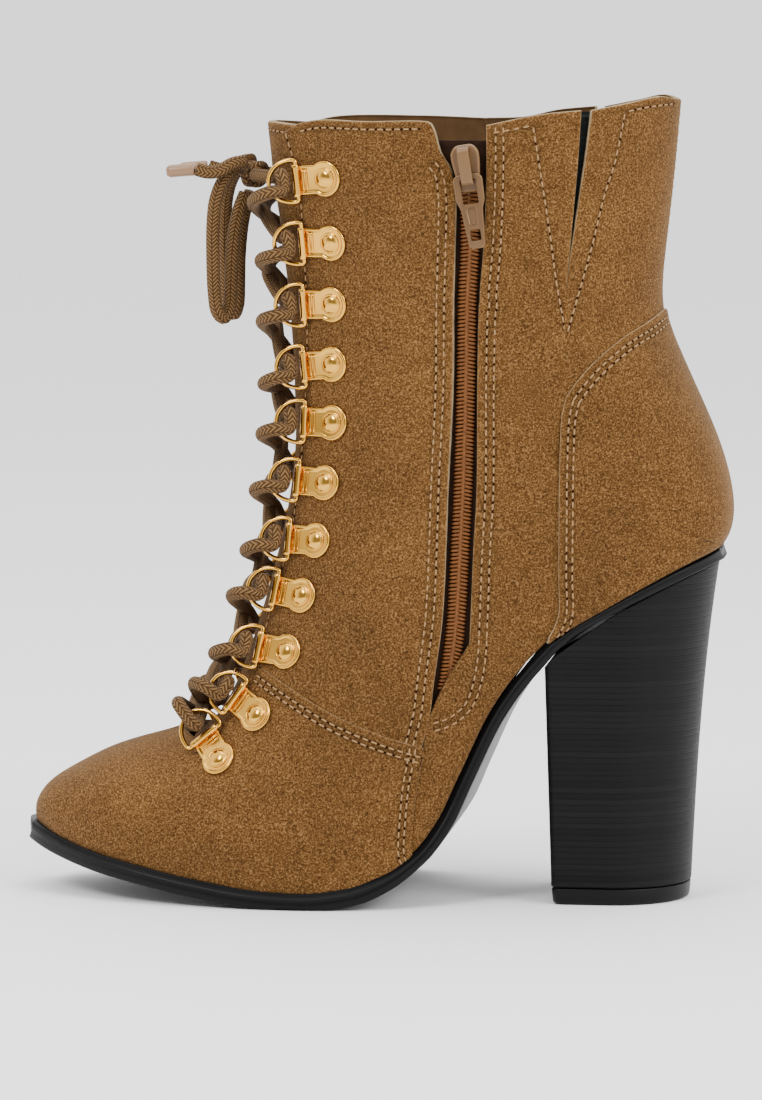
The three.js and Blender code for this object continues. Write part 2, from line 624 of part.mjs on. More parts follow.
// The sole's underside seen from the side, from the heel's back to the shank, lowered by drop
function soleUnderside(drop) {
  const path = [];
  for (const share of soleStations) {
    if (share > 0.34) continue;
    const x = along(0) - soleWelt(share) + share * (bootLength + 2 * soleWelt(share));
    const slope = soleZ(x + 0.5) - soleZ(x - 0.5);
    const length = Math.hypot(1, slope);
    const down = soleDepth(share) + drop;
    path.push([x + (slope * down) / length, soleZ(x) - down / length]);
  }
  const first = path[0];
  const end = path[path.length - 1];
  return [
    [first[0] - overshoot, first[1] + overshoot * 0.47], ...path, [end[0] + overshoot, end[1]],
    [end[0] + overshoot, bootHeight], [first[0] - overshoot, bootHeight],
  ];
}

function topPieceBody() {
  return solid(ringsGeometry([heelSection(0, 0.3), heelSection(topPieceThickness, 0)]));
}

// Tongue: follows the last inside the wall, from under the vamp to above the facings
const tongueFoot = 6.2; // first and last row of the last that the tongue reaches
const tongueTop = 21.07;
const tongueEdge = columnCurve([6, 9, 12, 16, 20, 22], [0.72, 0.66, 0.6, 0.56, 0.53, 0.52]);
function tongueBody() {
  const rows = [...formRows.filter((t) => t >= tongueFoot && t < tongueTop - 0.3), tongueTop];
  const grid = (out) => rows.map((t) => {
    const inner = range(tongueEdge(t), 1, 4).map((place) => offsetPoint(t, place, 'inner', out));
    const outer = range(1, tongueEdge(t), 4).map((place) => offsetPoint(t, place, 'outer', out));
    return [...inner, ...outer.slice(1)];
  });
  const outside = -(wall + liningGap);
  return solid(sheetGeometry(grid(outside), grid(outside - tongueThickness)));
}

// A strip that runs down the boot beside a line of places, in the wall's own curve
function strip(rows, side, halfWidth, columns, outside, thickness) {
  const grid = (out) => rows.map(({ x, z }) =>
    range(-halfWidth, halfWidth, columns).map((shift) => onBoot(x + shift, z, side, out)));
  return solid(sheetGeometry(grid(outside), grid(outside - thickness)));
}

const zipX = columnCurve(zipRows.map((row) => -row.z), zipRows.map((row) => row.x));
const zipLine = (from, to, steps) => range(from, to, steps).map((z) => ({ x: along(zipX(-z)), z: up(z) }));

function zipTapeBody() {
  return strip(zipLine(0.955, 0.243, 12), 'inner', tapeWidth / 2, 3, -(wall + liningGap), tapeThickness);
}

function zipCoilBody() {
  const under = gap - (wall + liningGap);
  return strip(zipLine(0.952, 0.272, 14), 'inner', coilWidth / 2, 2, under + coilHeight, coilHeight);
}

function goreBody(side) {
  const rows = range(0.985, 0.745, 5).map((z) => {
    const lean = 0.185 + (0.992 - z) * 0.11;
    return { x: along(lean), z: up(z) };
  });
  return strip(rows, side, 8, 4, -(wall + goreGap), goreThickness);
}

// A frame that sits on the boot: x forward along the row of rings, z straight out
function frameOn(x, z, towardX, towardZ, side, out) {
  const place = placeOn(x, z, side);
  const origin = offsetPoint(place.t, place.v, side, out);
  const normal = lastNormal(place.t, place.v, side);
  const toward = onBoot(towardX, towardZ, side, out).sub(origin);
  const forward = toward.addScaledVector(normal, -toward.dot(normal)).normalize();
  const sideways = new THREE.Vector3().crossVectors(normal, forward);
  return new THREE.Matrix4().makeBasis(forward, sideways, normal).setPosition(origin);
}

// A round bar along straight runs, mitred where they meet
function pipe(points, radius, sides) {
  const runs = [];
  for (let i = 0; i + 1 < points.length; i++) runs.push(points[i + 1].clone().sub(points[i]).normalize());
  const guide = Math.abs(runs[0].z) < 0.8 ? new THREE.Vector3(0, 0, 1) : new THREE.Vector3(1, 0, 0);
  let aside = new THREE.Vector3().crossVectors(runs[0], guide).normalize();
  const rings = points.map((p, i) => {
    const before = runs[Math.max(0, i - 1)];
    const after = runs[Math.min(runs.length - 1, i)];
    const middle = before.clone().add(after).normalize();
    const across = new THREE.Vector3().crossVectors(before, aside);
    const ring = range(0, 2 * Math.PI * (1 - 1 / sides), sides - 1).map((angle) => {
      const reach = aside.clone().multiplyScalar(radius * Math.cos(angle))
        .addScaledVector(across, radius * Math.sin(angle));
      return reach.addScaledVector(before, -reach.dot(middle) / before.dot(middle)).add(p);
    });
    const turn = new THREE.Quaternion().setFromUnitVectors(before, after);
    aside = aside.applyQuaternion(turn);
    return ring;
  });
  return ringsGeometry(rings);
}

// Lace ring: plate with a rivet, a rolled barrel and a D of wire, joined as one piece
function ringParts() {
  const half = plateLength / 2;
  const shape = new THREE.Shape();
  shape.moveTo(barrelReach, -half * 0.82);
  shape.lineTo(half * 0.8, -half * 0.82);
  shape.absarc(0, 0, half, -0.95, 0.95, true);
  shape.lineTo(barrelReach, half * 0.82);
  const plate = new THREE.ExtrudeGeometry(shape, { depth: plateThickness, bevelEnabled: false, curveSegments: 4 });
  const rivet = new THREE.LatheGeometry([
    new THREE.Vector2(0, 0), new THREE.Vector2(rivetRadius, 0), new THREE.Vector2(rivetRadius * 0.8, 0.9),
    new THREE.Vector2(0, 1.1),
  ], 7);
  rivet.rotateX(Math.PI / 2);
  rivet.translate(0, 0, plateThickness * 0.6);
  const barrel = new THREE.CylinderGeometry(barrelRadius, barrelRadius, barrelLength, 6);
  barrel.translate(barrelReach, 0, barrelRadius);
  const halfRing = ringHeight / 2 - ringWire;
  const lift = THREE.MathUtils.degToRad(ringLift);
  const arc = [
    [0, 0.55], [0, 0.95], [0.3, 1.0], [0.72, 0.78], [1, 0.28], [1, -0.28], [0.72, -0.78],
    [0.3, -1.0], [0, -0.95], [0, -0.55],
  ].map(([reach, aside]) => [
    barrelReach + reach * ringReach * Math.cos(lift),
    aside * halfRing,
    barrelRadius + reach * ringReach * Math.sin(lift),
  ]);
  const wire = pipe(arc.map((p) => new THREE.Vector3(...p)), ringWire, 4);
  return solid(plate).add(solid(rivet)).add(solid(barrel)).add(solid(wire));
}

const materials = {
  suede: new THREE.MeshStandardMaterial({ color: 0x96682f, roughness: 0.95, metalness: 0 }),
  rubber: new THREE.MeshStandardMaterial({ color: 0x121212, roughness: 0.5, metalness: 0 }),
  stack: new THREE.MeshStandardMaterial({ color: 0x1a1817, roughness: 0.45, metalness: 0 }),
  lining: new THREE.MeshStandardMaterial({ color: 0x5a3d22, roughness: 0.9, metalness: 0 }),
  elastic: new THREE.MeshStandardMaterial({ color: 0x16201c, roughness: 0.9, metalness: 0 }),
  tape: new THREE.MeshStandardMaterial({ color: 0x3a2316, roughness: 0.9, metalness: 0 }),
  coil: new THREE.MeshStandardMaterial({ color: 0x8f4a24, roughness: 0.5, metalness: 0 }),
  slider: new THREE.MeshStandardMaterial({ color: 0x9a6c38, roughness: 0.4, metalness: 0.3 }),
  gold: new THREE.MeshStandardMaterial({ color: 0xd9a63e, roughness: 0.2, metalness: 1 }),
  lace: new THREE.MeshStandardMaterial({ color: 0x8a6440, roughness: 0.95, metalness: 0 }),
  film: new THREE.MeshStandardMaterial({ color: 0xc9a487, roughness: 0.25, metalness: 0 }),
};

const boot = new THREE.Group();
function addPiece(name, geometry, material, matrix) {
  const mesh = new THREE.Mesh(geometry, materials[material]);
  mesh.name = name;
  if (matrix) {
    matrix.decompose(mesh.position, mesh.quaternion, mesh.scale);
    mesh.scale.set(1, 1, 1);
  }
  boot.add(mesh);
  return mesh;
}

addPiece('upper', geometryOf(upperBody()), 'suede');
addPiece('outsole', geometryOf(outsoleBody()), 'rubber');
addPiece('heel', geometryOf(heelBody()), 'stack');
addPiece('top_piece', geometryOf(topPieceBody()), 'rubber');
addPiece('insole', geometryOf(solid(footprintBlock(wall + 0.6, gap, gap + insoleThickness))), 'lining');
addPiece('tongue', geometryOf(tongueBody()), 'suede');
addPiece('zip_tape', geometryOf(zipTapeBody()), 'tape');
addPiece('zip_coil', geometryOf(zipCoilBody()), 'coil');
addPiece('gore_medial', geometryOf(goreBody('inner')), 'elastic');
addPiece('gore_lateral', geometryOf(goreBody('outer')), 'elastic');

// Lace rings down both facings
const ringGeometry = geometryOf(ringParts());
const ringFrames = { inner: [], outer: [] };
const overlayFrom = 9; // the lowest two pairs sit on the vamp's overlay
for (const side of ['inner', 'outer']) {
  for (let i = 0; i < ringCount; i++) {
    const row = ringRows[i];
    const out = gap + (i >= overlayFrom ? overlayStep : 0);
    const matrix = frameOn(along(row.x), up(row.z), along(row.barrelX), up(row.barrelZ), side, out);
    ringFrames[side].push(matrix);
    addPiece(`dring_${side === 'inner' ? 'medial' : 'lateral'}_${i + 1}`, ringGeometry, 'gold', matrix);
  }
}

// Lacing: each pair of rings is joined to the next by two crossing spans
const lift = THREE.MathUtils.degToRad(ringLift);
function inRing(side, i, share, out, aside) {
  const reach = barrelReach + share * ringReach * Math.cos(lift) - out * Math.sin(lift);
  const height = barrelRadius + share * ringReach * Math.sin(lift) + out * Math.cos(lift);
  const down = side === 'inner' ? aside : -aside;
  return new THREE.Vector3(reach, down, height).applyMatrix4(ringFrames[side][i]);
}

function overFront(x, z, out) {
  let best = { t: 0, error: Infinity };
  for (let t = 5; t < topRow; t += 0.05) {
    const p = lastPoint(t, 1, 'inner');
    const error = Math.hypot(p.x - x, p.z - z);
    if (error < best.error) best = { t, error };
  }
  return offsetPoint(best.t, 1, 'inner', out);
}

// The lace comes from the front behind a ring's wire, up through the ring, and leaves
// downwards over the wire
function laceTurn(side, i) {
  const under = inRing(side, i, 0.85, -underWire, -turnAside);
  const first = inRing(side, i, 0.5, inHole, -holeAside);
  const second = inRing(side, i, 0.5, overWire * 0.5, holeAside);
  const over = inRing(side, i, 0.95, overWire, turnAside + 1);
  const front = inRing(side, i, 1.5, inHole, turnAside + 2.4);
  return { under, first, second, over, front };
}

function crossingPoint(i, out) {
  const pair = ['inner', 'outer'].map((side) => inRing(side, i, 0.5, 0, 0));
  const next = ['inner', 'outer'].map((side) => inRing(side, i + 1, 0.5, 0, 0));
  const middle = [...pair, ...next].reduce((sum, p) => sum.addScaledVector(p, 0.25), new THREE.Vector3());
  return overFront(middle.x + 8, middle.z, out);
}

// One half of the lace: from the knot down the boot, crossing the front after each ring
function laceHalf(topSide) {
  const away = topSide === 'inner' ? 1 : -1;
  const points = [
    new THREE.Vector3(knotPlace[0] - 1, away * (knotSize[1] / 2 + gap * 1.5), knotPlace[2]),
  ];
  let side = topSide;
  for (let i = 0; i + 1 < ringCount; i++) {
    const { under, first, second, over, front } = laceTurn(side, i);
    points.push(under, first, second, over, front, crossingPoint(i, laceProud));
    side = side === 'inner' ? 'outer' : 'inner';
  }
  const last = ringCount - 1;
  const lastAway = side === 'inner' ? 1 : -1;
  points.push(inRing(side, last, 0.85, -underWire * 0.8, -turnAside), inRing(side, last, 0.5, overWire * 0.6, 0));
  points.push(inRing(side, last, 1.35, overWire, 0));
  const ends = ['inner', 'outer'].map((name) => inRing(name, last, 0.5, 0, 0));
  const middle = ends[0].add(ends[1]).multiplyScalar(0.5);
  const bar = overFront(middle.x + 6, middle.z + 1, laceProud + 1);
  points.push(bar.setY(-lastAway * barOverlap));
  return solid(pipe(points, laceRadius, 5));
}
addPiece('lace_crossings', geometryOf(laceHalf('inner').add(laceHalf('outer'))), 'lace');

// Bow: a knot on the tongue, two hanging loops and two short ends with their aglets
function knotBody() {
  const geometry = new THREE.SphereGeometry(1, 10, 7);
  geometry.scale(knotSize[0] / 2, knotSize[1] / 2, knotSize[2] / 2);
  geometry.translate(...knotPlace);
  return solid(geometry);
}

const beside = (path, side) => path.map(([x, y, z]) => new THREE.Vector3(x, side * y, z));
addPiece('lace_knot', geometryOf(knotBody()), 'lace');
for (const [name, side] of [['medial', 1], ['lateral', -1]]) {
  addPiece(`lace_loop_${name}`, geometryOf(solid(pipe(beside(loopPath, side), laceRadius, 8))), 'lace');
  addPiece(`lace_end_${name}`, geometryOf(solid(pipe(beside(endPath, side), laceRadius, 8))), 'lace');
  addPiece(`aglet_${name}`, geometryOf(solid(pipe(beside(agletPath, side), agletRadius, 8))), 'film');
}

// Zip slider over the coil, with the pull hanging through its bridge
const zipUp = zipLine(sliderPlace, sliderPlace + 0.03, 1);
const sliderFrame = frameOn(zipUp[0].x, zipUp[0].z, zipUp[1].x, zipUp[1].z, 'inner', 0);
const coilTop = gap - (wall + liningGap) + coilHeight;

function blockShape(points) {
  return new THREE.Shape(points.map(([x, y]) => new THREE.Vector2(x, y)));
}

function sliderBody() {
  const [half, tail] = [sliderWidth / 2, sliderWidth * 0.36];
  const [top, foot] = [sliderLength / 2, -sliderLength / 2];
  const plate = new THREE.ExtrudeGeometry(blockShape([
    [top, -half * 0.6], [top - 2, -half], [top - 5, -half], [foot + 1, -tail], [foot, -tail * 0.7],
    [foot, tail * 0.7], [foot + 1, tail], [top - 5, half], [top - 2, half], [top, half * 0.6],
  ]), { depth: sliderThickness, bevelEnabled: false });
  plate.translate(0, 0, coilTop + gap);
  const face = coilTop + gap + sliderThickness;
  const under = face + bridgeClear;
  const over = under + bridgeThickness;
  const bridge = new THREE.ExtrudeGeometry(blockShape([
    [bridgeLow, face - 0.5], [bridgeLow, over - 0.5], [bridgeLow + 0.6, over], [bridgeHigh - 0.6, over],
    [bridgeHigh, over - 0.5], [bridgeHigh, face - 0.5], [bridgeHigh - bridgeLeg, face - 0.5],
    [bridgeHigh - bridgeLeg, under], [bridgeLow + bridgeLeg, under], [bridgeLow + bridgeLeg, face - 0.5],
  ]), { depth: bridgeWidth, bevelEnabled: false });
  bridge.rotateX(Math.PI / 2);
  bridge.translate(0, bridgeWidth / 2, 0);
  return solid(plate).add(solid(bridge));
}

// The pull lies along -x from its bar, which is the hinge
function pullGeometry() {
  const [top, foot] = [pullBar / 2, pullBar / 2 - pullLength];
  const [wide, narrow] = [pullTopWidth / 2, pullBottomWidth / 2];
  const shape = blockShape([
    [top, -wide * 0.7], [top - 1.2, -wide], [-eyeLength, -wide * 0.95], [foot + 1, -narrow], [foot, -narrow * 0.7],
    [foot, narrow * 0.7], [foot + 1, narrow], [-eyeLength, wide * 0.95], [top - 1.2, wide], [top, wide * 0.7],
  ]);
  const eye = [top - pullBar, top - pullBar - eyeLength];
  const hole = (from, to, half) => new THREE.Path([
    [from, -half], [from, half], [to, half], [to, -half],
  ].map(([x, y]) => new THREE.Vector2(x, y)));
  shape.holes.push(hole(eye[0], eye[1], eyeWidth / 2));
  shape.holes.push(hole(foot + 5.6, foot + 2.4, narrow * 0.62));
  const geometry = new THREE.ExtrudeGeometry(shape, { depth: pullThickness, bevelEnabled: false });
  geometry.translate(0, 0, -pullThickness / 2);
  return geometryOf(solid(geometry));
}

addPiece('zip_slider', geometryOf(sliderBody()), 'slider', sliderFrame);
const pullHinge = new THREE.Vector3(
  bridgeLow + bridgeLeg + gap + pullBar / 2, 0, coilTop + gap + sliderThickness + bridgeClear / 2);
const pullFrame = sliderFrame.clone().multiply(new THREE.Matrix4().makeTranslation(...pullHinge));
addPiece('zip_pull', pullGeometry(), 'slider', pullFrame);

export default boot;
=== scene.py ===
import math
import bpy
import numpy as np
from mathutils import Matrix, Vector


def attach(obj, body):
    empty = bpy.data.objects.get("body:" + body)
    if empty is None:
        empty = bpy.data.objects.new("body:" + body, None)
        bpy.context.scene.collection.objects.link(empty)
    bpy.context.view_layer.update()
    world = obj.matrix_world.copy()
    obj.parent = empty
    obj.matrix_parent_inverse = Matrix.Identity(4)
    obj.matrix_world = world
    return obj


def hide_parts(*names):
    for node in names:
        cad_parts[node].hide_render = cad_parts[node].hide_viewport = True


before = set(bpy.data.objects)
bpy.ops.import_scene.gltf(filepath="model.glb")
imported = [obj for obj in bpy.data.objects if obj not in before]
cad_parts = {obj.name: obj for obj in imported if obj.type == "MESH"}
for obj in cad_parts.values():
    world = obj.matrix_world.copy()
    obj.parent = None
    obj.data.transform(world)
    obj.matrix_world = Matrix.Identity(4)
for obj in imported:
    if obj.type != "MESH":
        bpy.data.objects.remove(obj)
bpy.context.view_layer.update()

body = "boot"
mm = 0.001

# The boot's own sizes in millimetres, +X to the toe, +Y the inner side with the zip
boot = dict(length=208, heelRise=107, shaftRise=131, heelSeatBack=-29.2, ballWidth=86, shaftWidth=70,
            wall=1.9, step=0.9, liningGap=0.8, goreGap=1.1, gap=0.3, heelRounding=0.125, toeRounding=0.2,
            toeTip=0.9975, widest=0.42, heelRow=15, shaftRow=19, tipRow=-0.5)
bootHeight = boot["heelRise"] + boot["shaftRise"]
inner, outer = 1, -1
bothSides = ((inner, "medial"), (outer, "lateral"))


def along(share):
    return boot["heelSeatBack"] + np.asarray(share, float) * boot["length"]


def up(share):
    return np.asarray(share, float) * bootHeight


# Camera: almost side on, a little from behind and from above
camera = dict(place=(-134.73, 1696.22, 276.0), target=(72.446, 8.895, 104.1), focalPixels=5695.6,
              imageHeight=1100, sensor=36.0)


def makeCamera():
    data = bpy.data.cameras.new("camera")
    data.sensor_width = camera["sensor"]
    data.lens = camera["focalPixels"] / camera["imageHeight"] * camera["sensor"]
    obj = bpy.data.objects.new("camera", data)
    bpy.context.scene.collection.objects.link(obj)
    place = Vector(camera["place"]) * mm
    aim = Vector(camera["target"]) * mm - place
    obj.matrix_world = Matrix.Translation(place) @ aim.to_track_quat("-Z", "Y").to_matrix().to_4x4()
    bpy.context.scene.camera = obj


makeCamera()

# Bow and its ends: the route of each cord, chosen on the inner side and mirrored
bow = dict(
    knot=(111.6, 0, 216.2), knotSize=(9, 13, 8.4), radius=2.05, wrapRadius=2.0, agletRadius=1.9,
    loop=[(115.9, 4.6, 218.9), (118.4, 6.7, 216.8), (120.6, 9.2, 213.2), (122.0, 11.2, 208.5),
          (122.6, 12.2, 201.5), (122.6, 12.6, 191), (122.2, 12.6, 181), (121.4, 12, 175.6),
          (119.7, 10.2, 173.6), (118.3, 8.6, 176.4), (117.9, 8, 183), (117.6, 7.6, 192),
          (116.6, 7, 201), (115.2, 6.2, 207), (113.8, 5.2, 210.6)],
    end=[(113.6, 7.6, 220.2), (117.0, 10.2, 219.6), (120.6, 11.8, 217.6), (124.1, 12.4, 217.2),
         (127.4, 12.5, 218.0)],
    aglet=[(128.0, 12.5, 218.0), (132, 12.5, 217.7), (136.4, 12.4, 217.3)],
)

# Where sole and upper meet: x of the length, z of the heel's rise, half widths of the ball's width
soleRows = np.array([
    (0.0, 1.0, 0.32, 0.32),
    (0.052, 0.954, 0.33, 0.33),
    (0.142, 0.861, 0.34, 0.342),
    (0.234, 0.75, 0.33, 0.335),
    (0.266, 0.688, 0.318, 0.33),
    (0.295, 0.619, 0.305, 0.325),
    (0.326, 0.527, 0.3, 0.325),
    (0.367, 0.357, 0.325, 0.35),
    (0.394, 0.241, 0.36, 0.385),
    (0.425, 0.159, 0.41, 0.425),
    (0.472, 0.097, 0.46, 0.465),
    (0.525, 0.061, 0.485, 0.485),
    (0.585, 0.048, 0.494, 0.494),
    (0.643, 0.053, 0.49, 0.485),
    (0.746, 0.08, 0.452, 0.44),
    (0.828, 0.109, 0.4, 0.375),
    (0.884, 0.129, 0.362, 0.33),
    (0.951, 0.161, 0.31, 0.28),
    (1.0, 0.194, 0.28, 0.25),
])

# The last: x, z of the base; x, z of the front; half widths; height of the widest place; fullness
lastRows = np.array([
    (0.992, 0.087, 0.9965, 0.104, 0.3, 0.28, 0.45, 2, 2),
    (0.983, 0.085, 0.9935, 0.113, 0.31, 0.29, 0.42, 2, 2.1),
    (0.962, 0.076, 0.976, 0.132, 0.33, 0.305, 0.38, 2, 2.15),
    (0.929, 0.067, 0.938, 0.153, 0.35, 0.325, 0.34, 2, 2.15),
    (0.876, 0.058, 0.887, 0.175, 0.384, 0.355, 0.32, 2, 2.1),
    (0.813, 0.048, 0.832, 0.19, 0.425, 0.402, 0.3, 2, 2.05),
    (0.741, 0.038, 0.78, 0.205, 0.468, 0.458, 0.29, 2, 2),
    (0.66, 0.028, 0.742, 0.231, 0.498, 0.495, 0.28, 2, 1.95),
    (0.573, 0.025, 0.712, 0.277, 0.508, 0.508, 0.28, 2, 1.88),
    (0.477, 0.043, 0.683, 0.349, 0.485, 0.49, 0.3, 2, 1.85),
    (0.395, 0.107, 0.657, 0.433, 0.436, 0.45, 0.33, 2, 1.88),
    (0.323, 0.24, 0.639, 0.508, 0.4, 0.415, 0.37, 2, 1.92),
    (0.217, 0.345, 0.63, 0.578, 0.384, 0.392, 0.41, 2, 1.96),
    (0.102, 0.407, 0.631, 0.63, 0.38, 0.384, 0.43, 1.95, 2),
    (0.035, 0.436, 0.633, 0.672, 0.377, 0.38, 0.44, 2.05, 2),
    (0.0, 0.45, 0.637, 0.71, 0.374, 0.376, 0.45, 3.1, 2),
    (-0.013, 0.492, 0.641, 0.756, 0.372, 0.373, 0.46, 3.1, 2),
    (0.005, 0.563, 0.647, 0.803, 0.371, 0.371, 0.46, 2.9, 2),
    (0.051, 0.66, 0.654, 0.853, 0.373, 0.373, 0.47, 2.55, 2),
    (0.084, 0.739, 0.661, 0.895, 0.38, 0.38, 0.47, 2.2, 2),
    (0.081, 0.828, 0.665, 0.935, 0.39, 0.39, 0.47, 2.1, 2),
    (0.068, 0.933, 0.67, 0.971, 0.402, 0.402, 0.47, 2, 2),
    (0.058, 1.034, 0.676, 1.017, 0.41, 0.41, 0.47, 2, 2),
])


def columnCurve(keys, values):
    # Monotone cubic through a column: harmonic mean slopes, flat where the slope changes sign.
    keys, values = np.asarray(keys, float), np.asarray(values, float)
    step = np.diff(keys)
    slope = np.diff(values) / step
    product = slope[:-1] * slope[1:]
    total = np.where(product > 0, slope[:-1] + slope[1:], 1)
    tangent = np.concatenate([slope[:1], np.where(product > 0, 2 * product / total, 0), slope[-1:]])

    def at(key):
        key = np.asarray(key, float)
        i = np.clip(np.searchsorted(keys, key) - 1, 0, len(keys) - 2)
        s = np.clip((key - keys[i]) / step[i], 0, 1)
        return ((1 + 2 * s) * (1 - s) ** 2 * values[i] + s * s * (3 - 2 * s) * values[i + 1]
                + s * (1 - s) ** 2 * step[i] * tangent[i] + s * s * (s - 1) * step[i] * tangent[i + 1])
    return at


def rowCurve(values):
    # Natural cubic spline through evenly numbered rows.
    values = np.asarray(values, float)
    count = len(values)
    system = np.eye(count)
    right = np.zeros(count)
    for i in range(1, count - 1):
        system[i, i - 1:i + 2] = (1, 4, 1)
        right[i] = 6 * (values[i + 1] - 2 * values[i] + values[i - 1])
    bend = np.linalg.solve(system, right)

    def at(t):
        t = np.asarray(t, float)
        i = np.clip(np.floor(t).astype(int), 0, count - 2)
        b = t - i
        a = 1 - b
        return a * values[i] + b * values[i + 1] + ((a ** 3 - a) * bend[i] + (b ** 3 - b) * bend[i + 1]) / 6
    return at


soleKeys = soleRows[:, 0]
soleHeight = columnCurve(soleKeys, soleRows[:, 1])
soleHalf = {inner: columnCurve(soleKeys, soleRows[:, 2]), outer: columnCurve(soleKeys, soleRows[:, 3])}
lastCurve = {name: rowCurve(lastRows[:, i]) for i, name in enumerate(
    ("x", "z", "frontX", "frontZ", "inner", "outer", "rise", "low", "high"))}
topRow = len(lastRows) - 1


def soleZ(x):
    return boot["heelRise"] * soleHeight((np.asarray(x, float) - boot["heelSeatBack"]) / boot["length"])


def endRound(share, over):
    q = np.clip(share / over, 0, 1)
    return np.sqrt(np.maximum(0, 1 - (1 - q) ** 2))


def footprint(x, side, inset=0.0):
    # Half width of the sole's outline at x, set in by inset all round.
    share = (np.asarray(x, float) - boot["heelSeatBack"] - inset) / (boot["length"] - 2 * inset)
    width = boot["ballWidth"] * soleHalf[side](np.clip(share, 0, 1)) - inset
    return width * endRound(share, boot["heelRounding"]) * endRound(1 - share, boot["toeRounding"])


def lastPoint(t, v, side):
    # Point of the last at row t and place v: a superellipse from the feather edge out to the widest
    # place, and another from there to the front line, in the plane from the row's base to its front.
    t, v = np.broadcast_arrays(np.asarray(t, float), np.asarray(v, float))
    onSole = t <= boot["heelRow"]
    c = {name: curve(t) for name, curve in lastCurve.items()}
    x = np.where(onSole, np.maximum(0, c["x"]), c["x"])
    baseX = along(x)
    shaft = np.clip((t - boot["heelRow"]) / (boot["shaftRow"] - boot["heelRow"]), 0, 1)
    unit = boot["ballWidth"] + shaft * (boot["shaftWidth"] / 0.814 - boot["ballWidth"])
    own = unit * c["inner" if side == inner else "outer"] * endRound(boot["toeTip"] - x, boot["toeRounding"])
    feather = np.where(onSole, footprint(baseX, side), 0)
    wide = np.maximum(own, feather)
    baseZ = np.where(onSole, soleZ(baseX), up(c["z"]))
    lower = v < boot["widest"]
    angle = np.pi / 2 * np.where(lower, v / boot["widest"], (v - boot["widest"]) / (1 - boot["widest"]))
    power = 2 / np.where(lower, c["low"], c["high"])
    sin = np.maximum(0, np.sin(angle)) ** power
    cos = np.maximum(0, np.cos(angle)) ** power
    share = np.where(lower, c["rise"] * (1 - cos), c["rise"] + (1 - c["rise"]) * sin)
    half = np.where(lower, feather + (wide - feather) * sin, wide * cos)
    return np.stack([baseX + (along(c["frontX"]) - baseX) * share, side * half,
                     baseZ + (up(c["frontZ"]) - baseZ) * share], -1)


def lastNormal(t, v, side):
    t, v = np.broadcast_arrays(np.asarray(t, float), np.asarray(v, float))
    dt, dv = 0.03, 0.01
    ahead = lastPoint(np.minimum(topRow, t + dt), v, side)
    behind = lastPoint(np.maximum(boot["tipRow"], t - dt), v, side)
    alongT = ahead - behind
    alongV = lastPoint(t, np.minimum(1, v + dv), side) - lastPoint(t, np.maximum(0, v - dv), side)
    normal = np.cross(alongT, alongV) * side
    middle = (v > 1 - 1e-6) | ((v < 1e-6) & (t >= boot["heelRow"]))
    normal[..., 1] = np.where(middle, 0, normal[..., 1])
    return normal / np.linalg.norm(normal, axis=-1, keepdims=True)


def skin(t, v, side, out):
    return lastPoint(t, v, side) + lastNormal(t, v, side) * np.asarray(out)[..., None]


# Search for a place on the last: a coarse grid to start from, then Newton steps held to a size
search = dict(rounds=16, stepT=0.01, stepV=0.001, mostT=0.6, mostV=0.08, edgeT=0.02, lowV=0.002, highV=0.998)
searchT, searchV = [g.ravel() for g in np.meshgrid(np.arange(0.25, topRow, 0.25), np.arange(0.02, 1, 0.03))]
searchPoints = {side: lastPoint(searchT, searchV, side)[:, [0, 2]] for side in (inner, outer)}


def placeOn(x, z, side):
    # Row and place of the points that lie at x, z seen from the side: nearest of a grid, then Newton.
    want = np.stack([np.atleast_1d(x).astype(float), np.atleast_1d(z).astype(float)], -1)
    near = np.argmin(((want[:, None] - searchPoints[side][None]) ** 2).sum(-1), 1)
    t, v = searchT[near].copy(), searchV[near].copy()
    for _ in range(search["rounds"]):
        p = lastPoint(t, v, side)[:, [0, 2]]
        pt = (lastPoint(np.minimum(topRow, t + search["stepT"]), v, side)[:, [0, 2]] - p) / search["stepT"]
        pv = (lastPoint(t, np.minimum(1, v + search["stepV"]), side)[:, [0, 2]] - p) / search["stepV"]
        det = pt[:, 0] * pv[:, 1] - pt[:, 1] * pv[:, 0]
        det = np.where(np.abs(det) < 1e-9, 1e9, det)
        d = want - p
        moveT = (d[:, 0] * pv[:, 1] - d[:, 1] * pv[:, 0]) / det
        moveV = (pt[:, 0] * d[:, 1] - pt[:, 1] * d[:, 0]) / det
        t = t + np.clip(moveT, -search["mostT"], search["mostT"])
        v = v + np.clip(moveV, -search["mostV"], search["mostV"])
        t = np.clip(t, search["edgeT"], topRow - search["edgeT"])
        v = np.clip(v, search["lowV"], search["highV"])
    return t, v


backT = np.linspace(boot["heelRow"], topRow, 400)
frontT = np.linspace(0, topRow, 600)
soleT = np.linspace(boot["tipRow"], boot["heelRow"], 600)


def place(mark, side):
    # A (row, place) pair from a mark: (x, z) shares, or back, front or sole with one share, or a row
    # with its place.
    if mark[0] == "back":
        return float(np.interp(mark[1], lastCurve["z"](backT), backT)), 0.0
    if mark[0] == "front":
        return float(np.interp(mark[1], lastCurve["frontZ"](frontT), frontT)), 1.0
    if mark[0] == "sole":
        return float(np.interp(-mark[1], -np.maximum(0, lastCurve["x"](soleT)), soleT)), 0.0
    if mark[0] == "row":
        return mark[1], mark[2]
    t, v = placeOn(along(mark[0]), up(mark[1]), side)
    return float(t[0]), float(v[0])


def lengthAlong(line):
    return np.concatenate([[0], np.cumsum(np.linalg.norm(np.diff(line, axis=0), axis=1))])


def atLengths(want, length, line):
    return np.stack([np.interp(want, length, line[:, k]) for k in range(line.shape[1])], -1)


